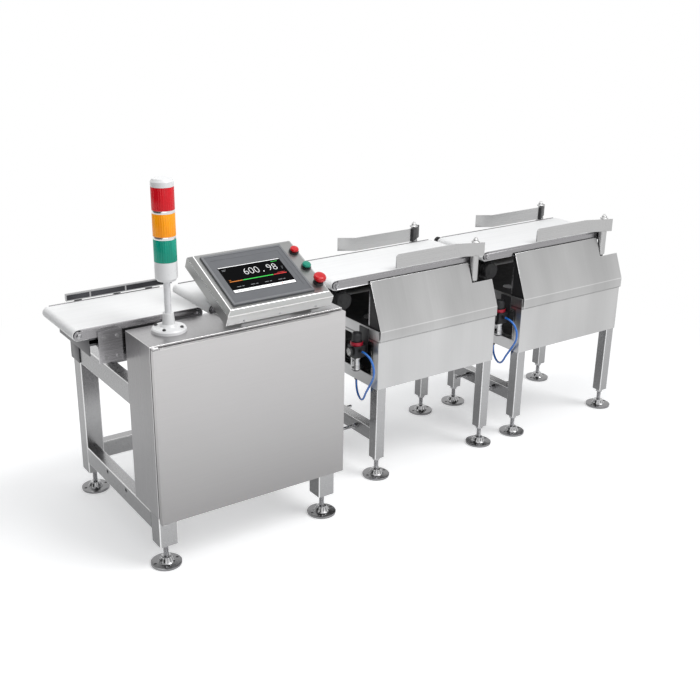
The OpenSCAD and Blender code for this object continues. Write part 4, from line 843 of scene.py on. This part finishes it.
def on_dial(centre, degrees):
    """Places millimetres out of the dial, along a direction on it and across that direction."""
    t = math.radians(degrees)
    d = EZ * math.cos(t) - EY * math.sin(t)
    e = d.cross(EX)
    return lambda x, y, z: centre + EX * (x / 1000) + d * (y / 1000) + e * (z / 1000)


bm_ring, bm_guard, bm_gauge, bm_dial = bmesh.new(), bmesh.new(), bmesh.new(), bmesh.new()
for i, s in enumerate(STATIONS, 1):
    c = at(s + REG_U, REG_V, 0)
    lathe_into(bm_ring, RED_RING, c, UP, 64)
    lathe_into(bm_guard, BOWL_GUARD, c, UP, 64)
    g = at(s + REG_U - 32.0, REG_V, 472.0)
    lathe_into(bm_gauge, GAUGE_CASE, g, ALONG_X)
    lathe_into(bm_dial, DIAL, g, ALONG_X)
    for k in range(TICKS):
        box_into(bm_dial, (-0.9, 9.0, -0.5), (-0.5, 12.0, 0.5), on_dial(g, TICK_FIRST + TICK_STEP * k), 1)
    box_into(bm_dial, (-1.2, -2.5, -0.45), (-0.9, 9.5, 0.45), on_dial(g, POINTER), 1)
    bm = bmesh.new()
    lathe_into(bm, KNOB, c, UP, 180, knob_ribs)
    knob = f"regulator_knob_{i}"
    piece(knob + "_ribbed", to_mesh(bm, "knob"), "black", knob, (knob,), 35)
piece("regulator_rings", to_mesh(bm_ring, "regulator_rings"), "ring", BASE)
piece("regulator_guards", to_mesh(bm_guard, "regulator_guards"), "polish", BASE)
piece("gauge_cases", to_mesh(bm_gauge, "gauge_cases"), "black", BASE)
piece("gauge_dials", to_mesh(bm_dial, "gauge_dials"), ["dial", "black"], BASE)

# Swing arms: black pivot guard on the far arms
ARM_Z, ARM_H = 746.0, 48.0
PIVOT_U, PIVOT_V = 415.0, 150.0
GUARD_0, GUARD_1 = Vector((-35.0, -20.0, 0)), Vector((30.0, 25.0, 0))  # ends of the guard, from the pivot
GUARD_D = (GUARD_1 - GUARD_0).normalized()
GUARD_N = Vector((GUARD_D.y, -GUARD_D.x, 0))
GUARD_L = (GUARD_1 - GUARD_0).length


def guard(s):
    """Places millimetres along the guard, out of it and up, at one station's far arm."""
    pivot = at(s + PIVOT_U, PIVOT_V, ARM_Z)
    return lambda x, y, z: pivot + (GUARD_0 + GUARD_D * x + GUARD_N * y + EZ * z) / 1000


for i, s in enumerate(STATIONS, 1):
    bm = bmesh.new()
    box_into(bm, (3.0, 1.4, -0.4), (GUARD_L - 0.5, 14.0, ARM_H - 0.8), guard(s))
    bevel_all(bm, 0.0012)
    piece(f"rear_guard_{i}", to_mesh(bm, "rear_guard"), "deck", f"rear_arm_{i}")


# Studio: pale floor, white background, a dark flag that the steel mirrors, and soft light
def white_for_seen(tree, lit, seen):
    """Camera, glossy and transmission rays take one shader, and all other rays the other."""
    n, l = tree.nodes, tree.links
    path = n.new("ShaderNodeLightPath")
    is_seen = path.outputs["Is Camera Ray"]
    for name in ("Is Glossy Ray", "Is Transmission Ray"):
        m = n.new("ShaderNodeMath")
        m.operation = "MAXIMUM"
        l.new(is_seen, m.inputs[0])
        l.new(path.outputs[name], m.inputs[1])
        is_seen = m.outputs[0]
    mix = n.new("ShaderNodeMixShader")
    l.new(is_seen, mix.inputs[0])
    l.new(lit, mix.inputs[1])
    l.new(seen, mix.inputs[2])
    return mix.outputs[0]


world = bpy.data.worlds.new("studio")
world.use_nodes = True
SCENE.world = world
wt = world.node_tree
wt.nodes.clear()
w_lit, w_seen = wt.nodes.new("ShaderNodeBackground"), wt.nodes.new("ShaderNodeBackground")
w_lit.inputs["Color"].default_value = (0.95, 0.97, 1.0, 1)
w_lit.inputs["Strength"].default_value = 0.45
w_seen.inputs["Color"].default_value = (1, 1, 1, 1)
w_seen.inputs["Strength"].default_value = 1.0
w_out = wt.nodes.new("ShaderNodeOutputWorld")
wt.links.new(white_for_seen(wt, w_lit.outputs[0], w_seen.outputs[0]), w_out.inputs["Surface"])

fm = bpy.data.materials.new("studio_floor")
fm.use_nodes = True
ft = fm.node_tree
ft.nodes.clear()
diff = ft.nodes.new("ShaderNodeBsdfDiffuse")
diff.inputs["Color"].default_value = (0.92, 0.92, 0.92, 1)
lift = ft.nodes.new("ShaderNodeEmission")
lift.inputs["Strength"].default_value = 0.36
both = ft.nodes.new("ShaderNodeAddShader")
ft.links.new(diff.outputs[0], both.inputs[0])
ft.links.new(lift.outputs[0], both.inputs[1])
plain = ft.nodes.new("ShaderNodeEmission")
f_coord = ft.nodes.new("ShaderNodeTexCoord")
f_len = ft.nodes.new("ShaderNodeVectorMath")
f_len.operation = "LENGTH"
ft.links.new(f_coord.outputs["Object"], f_len.inputs[0])
f_far = ft.nodes.new("ShaderNodeMapRange")
f_far.interpolation_type = "SMOOTHSTEP"
f_far.inputs["From Min"].default_value = 1.1
f_far.inputs["From Max"].default_value = 2.3
ft.links.new(f_len.outputs["Value"], f_far.inputs["Value"])
f_mix = ft.nodes.new("ShaderNodeMixShader")
ft.links.new(f_far.outputs[0], f_mix.inputs[0])
ft.links.new(both.outputs[0], f_mix.inputs[1])
ft.links.new(plain.outputs[0], f_mix.inputs[2])
f_out = ft.nodes.new("ShaderNodeOutputMaterial")
ft.links.new(white_for_seen(ft, diff.outputs[0], f_mix.outputs[0]), f_out.inputs["Surface"])
FLOOR_HALF, FLOOR_Z = 30.0, -0.0006
FLAG_X, FLAG_Y0, FLAG_Y1, FLAG_H = -4.2, -3.6, 4.0, 3.4


def sheet(name, corners, mat):
    """One flat face, for the studio."""
    mesh = bpy.data.meshes.new(name)
    mesh.from_pydata(corners, [], [(0, 1, 2, 3)])
    mesh.materials.append(mat)
    o = bpy.data.objects.new(name, mesh)
    SCENE.collection.objects.link(o)
    return o


floor = sheet("studio_floor", [(x * FLOOR_HALF, y * FLOOR_HALF, FLOOR_Z)
                               for x, y in ((-1, -1), (1, -1), (1, 1), (-1, 1))], fm)

fg = Mat("studio_flag", base_color=(0.10, 0.10, 0.10, 1), roughness=0.9)
flag = sheet("studio_flag", [(FLAG_X, FLAG_Y0, 0.0), (FLAG_X, FLAG_Y1, 0.0), (FLAG_X, FLAG_Y1, FLAG_H),
                             (FLAG_X, FLAG_Y0, FLAG_H)], fg.mat)
flag.visible_camera = False


def lamp(name, kind, loc, aim, power, size):
    """A lamp at loc that points to aim; size is an angle for a sun, and two sides for a softbox."""
    d = bpy.data.lights.new(name, kind)
    d.energy = power
    if kind == "SUN":
        d.angle = math.radians(size)
    else:
        d.shape = "RECTANGLE"
        d.size, d.size_y = size
    o = bpy.data.objects.new(name, d)
    o.location = loc
    o.rotation_euler = (Vector(aim) - Vector(loc)).to_track_quat("-Z", "Y").to_euler()
    SCENE.collection.objects.link(o)


lamp("key", "SUN", (2.2, -2.4, 4.4), (0, 0, 0.4), 1.15, 30)
lamp("top_softbox", "AREA", (-0.6, -0.2, 3.2), (-0.2, 0, 0.5), 29, (3.4, 1.8))
lamp("front_softbox", "AREA", (-1.6, -3.4, 1.9), (0, 0, 0.5), 14, (2.6, 1.6))

SCENE.view_settings.view_transform = "Standard"
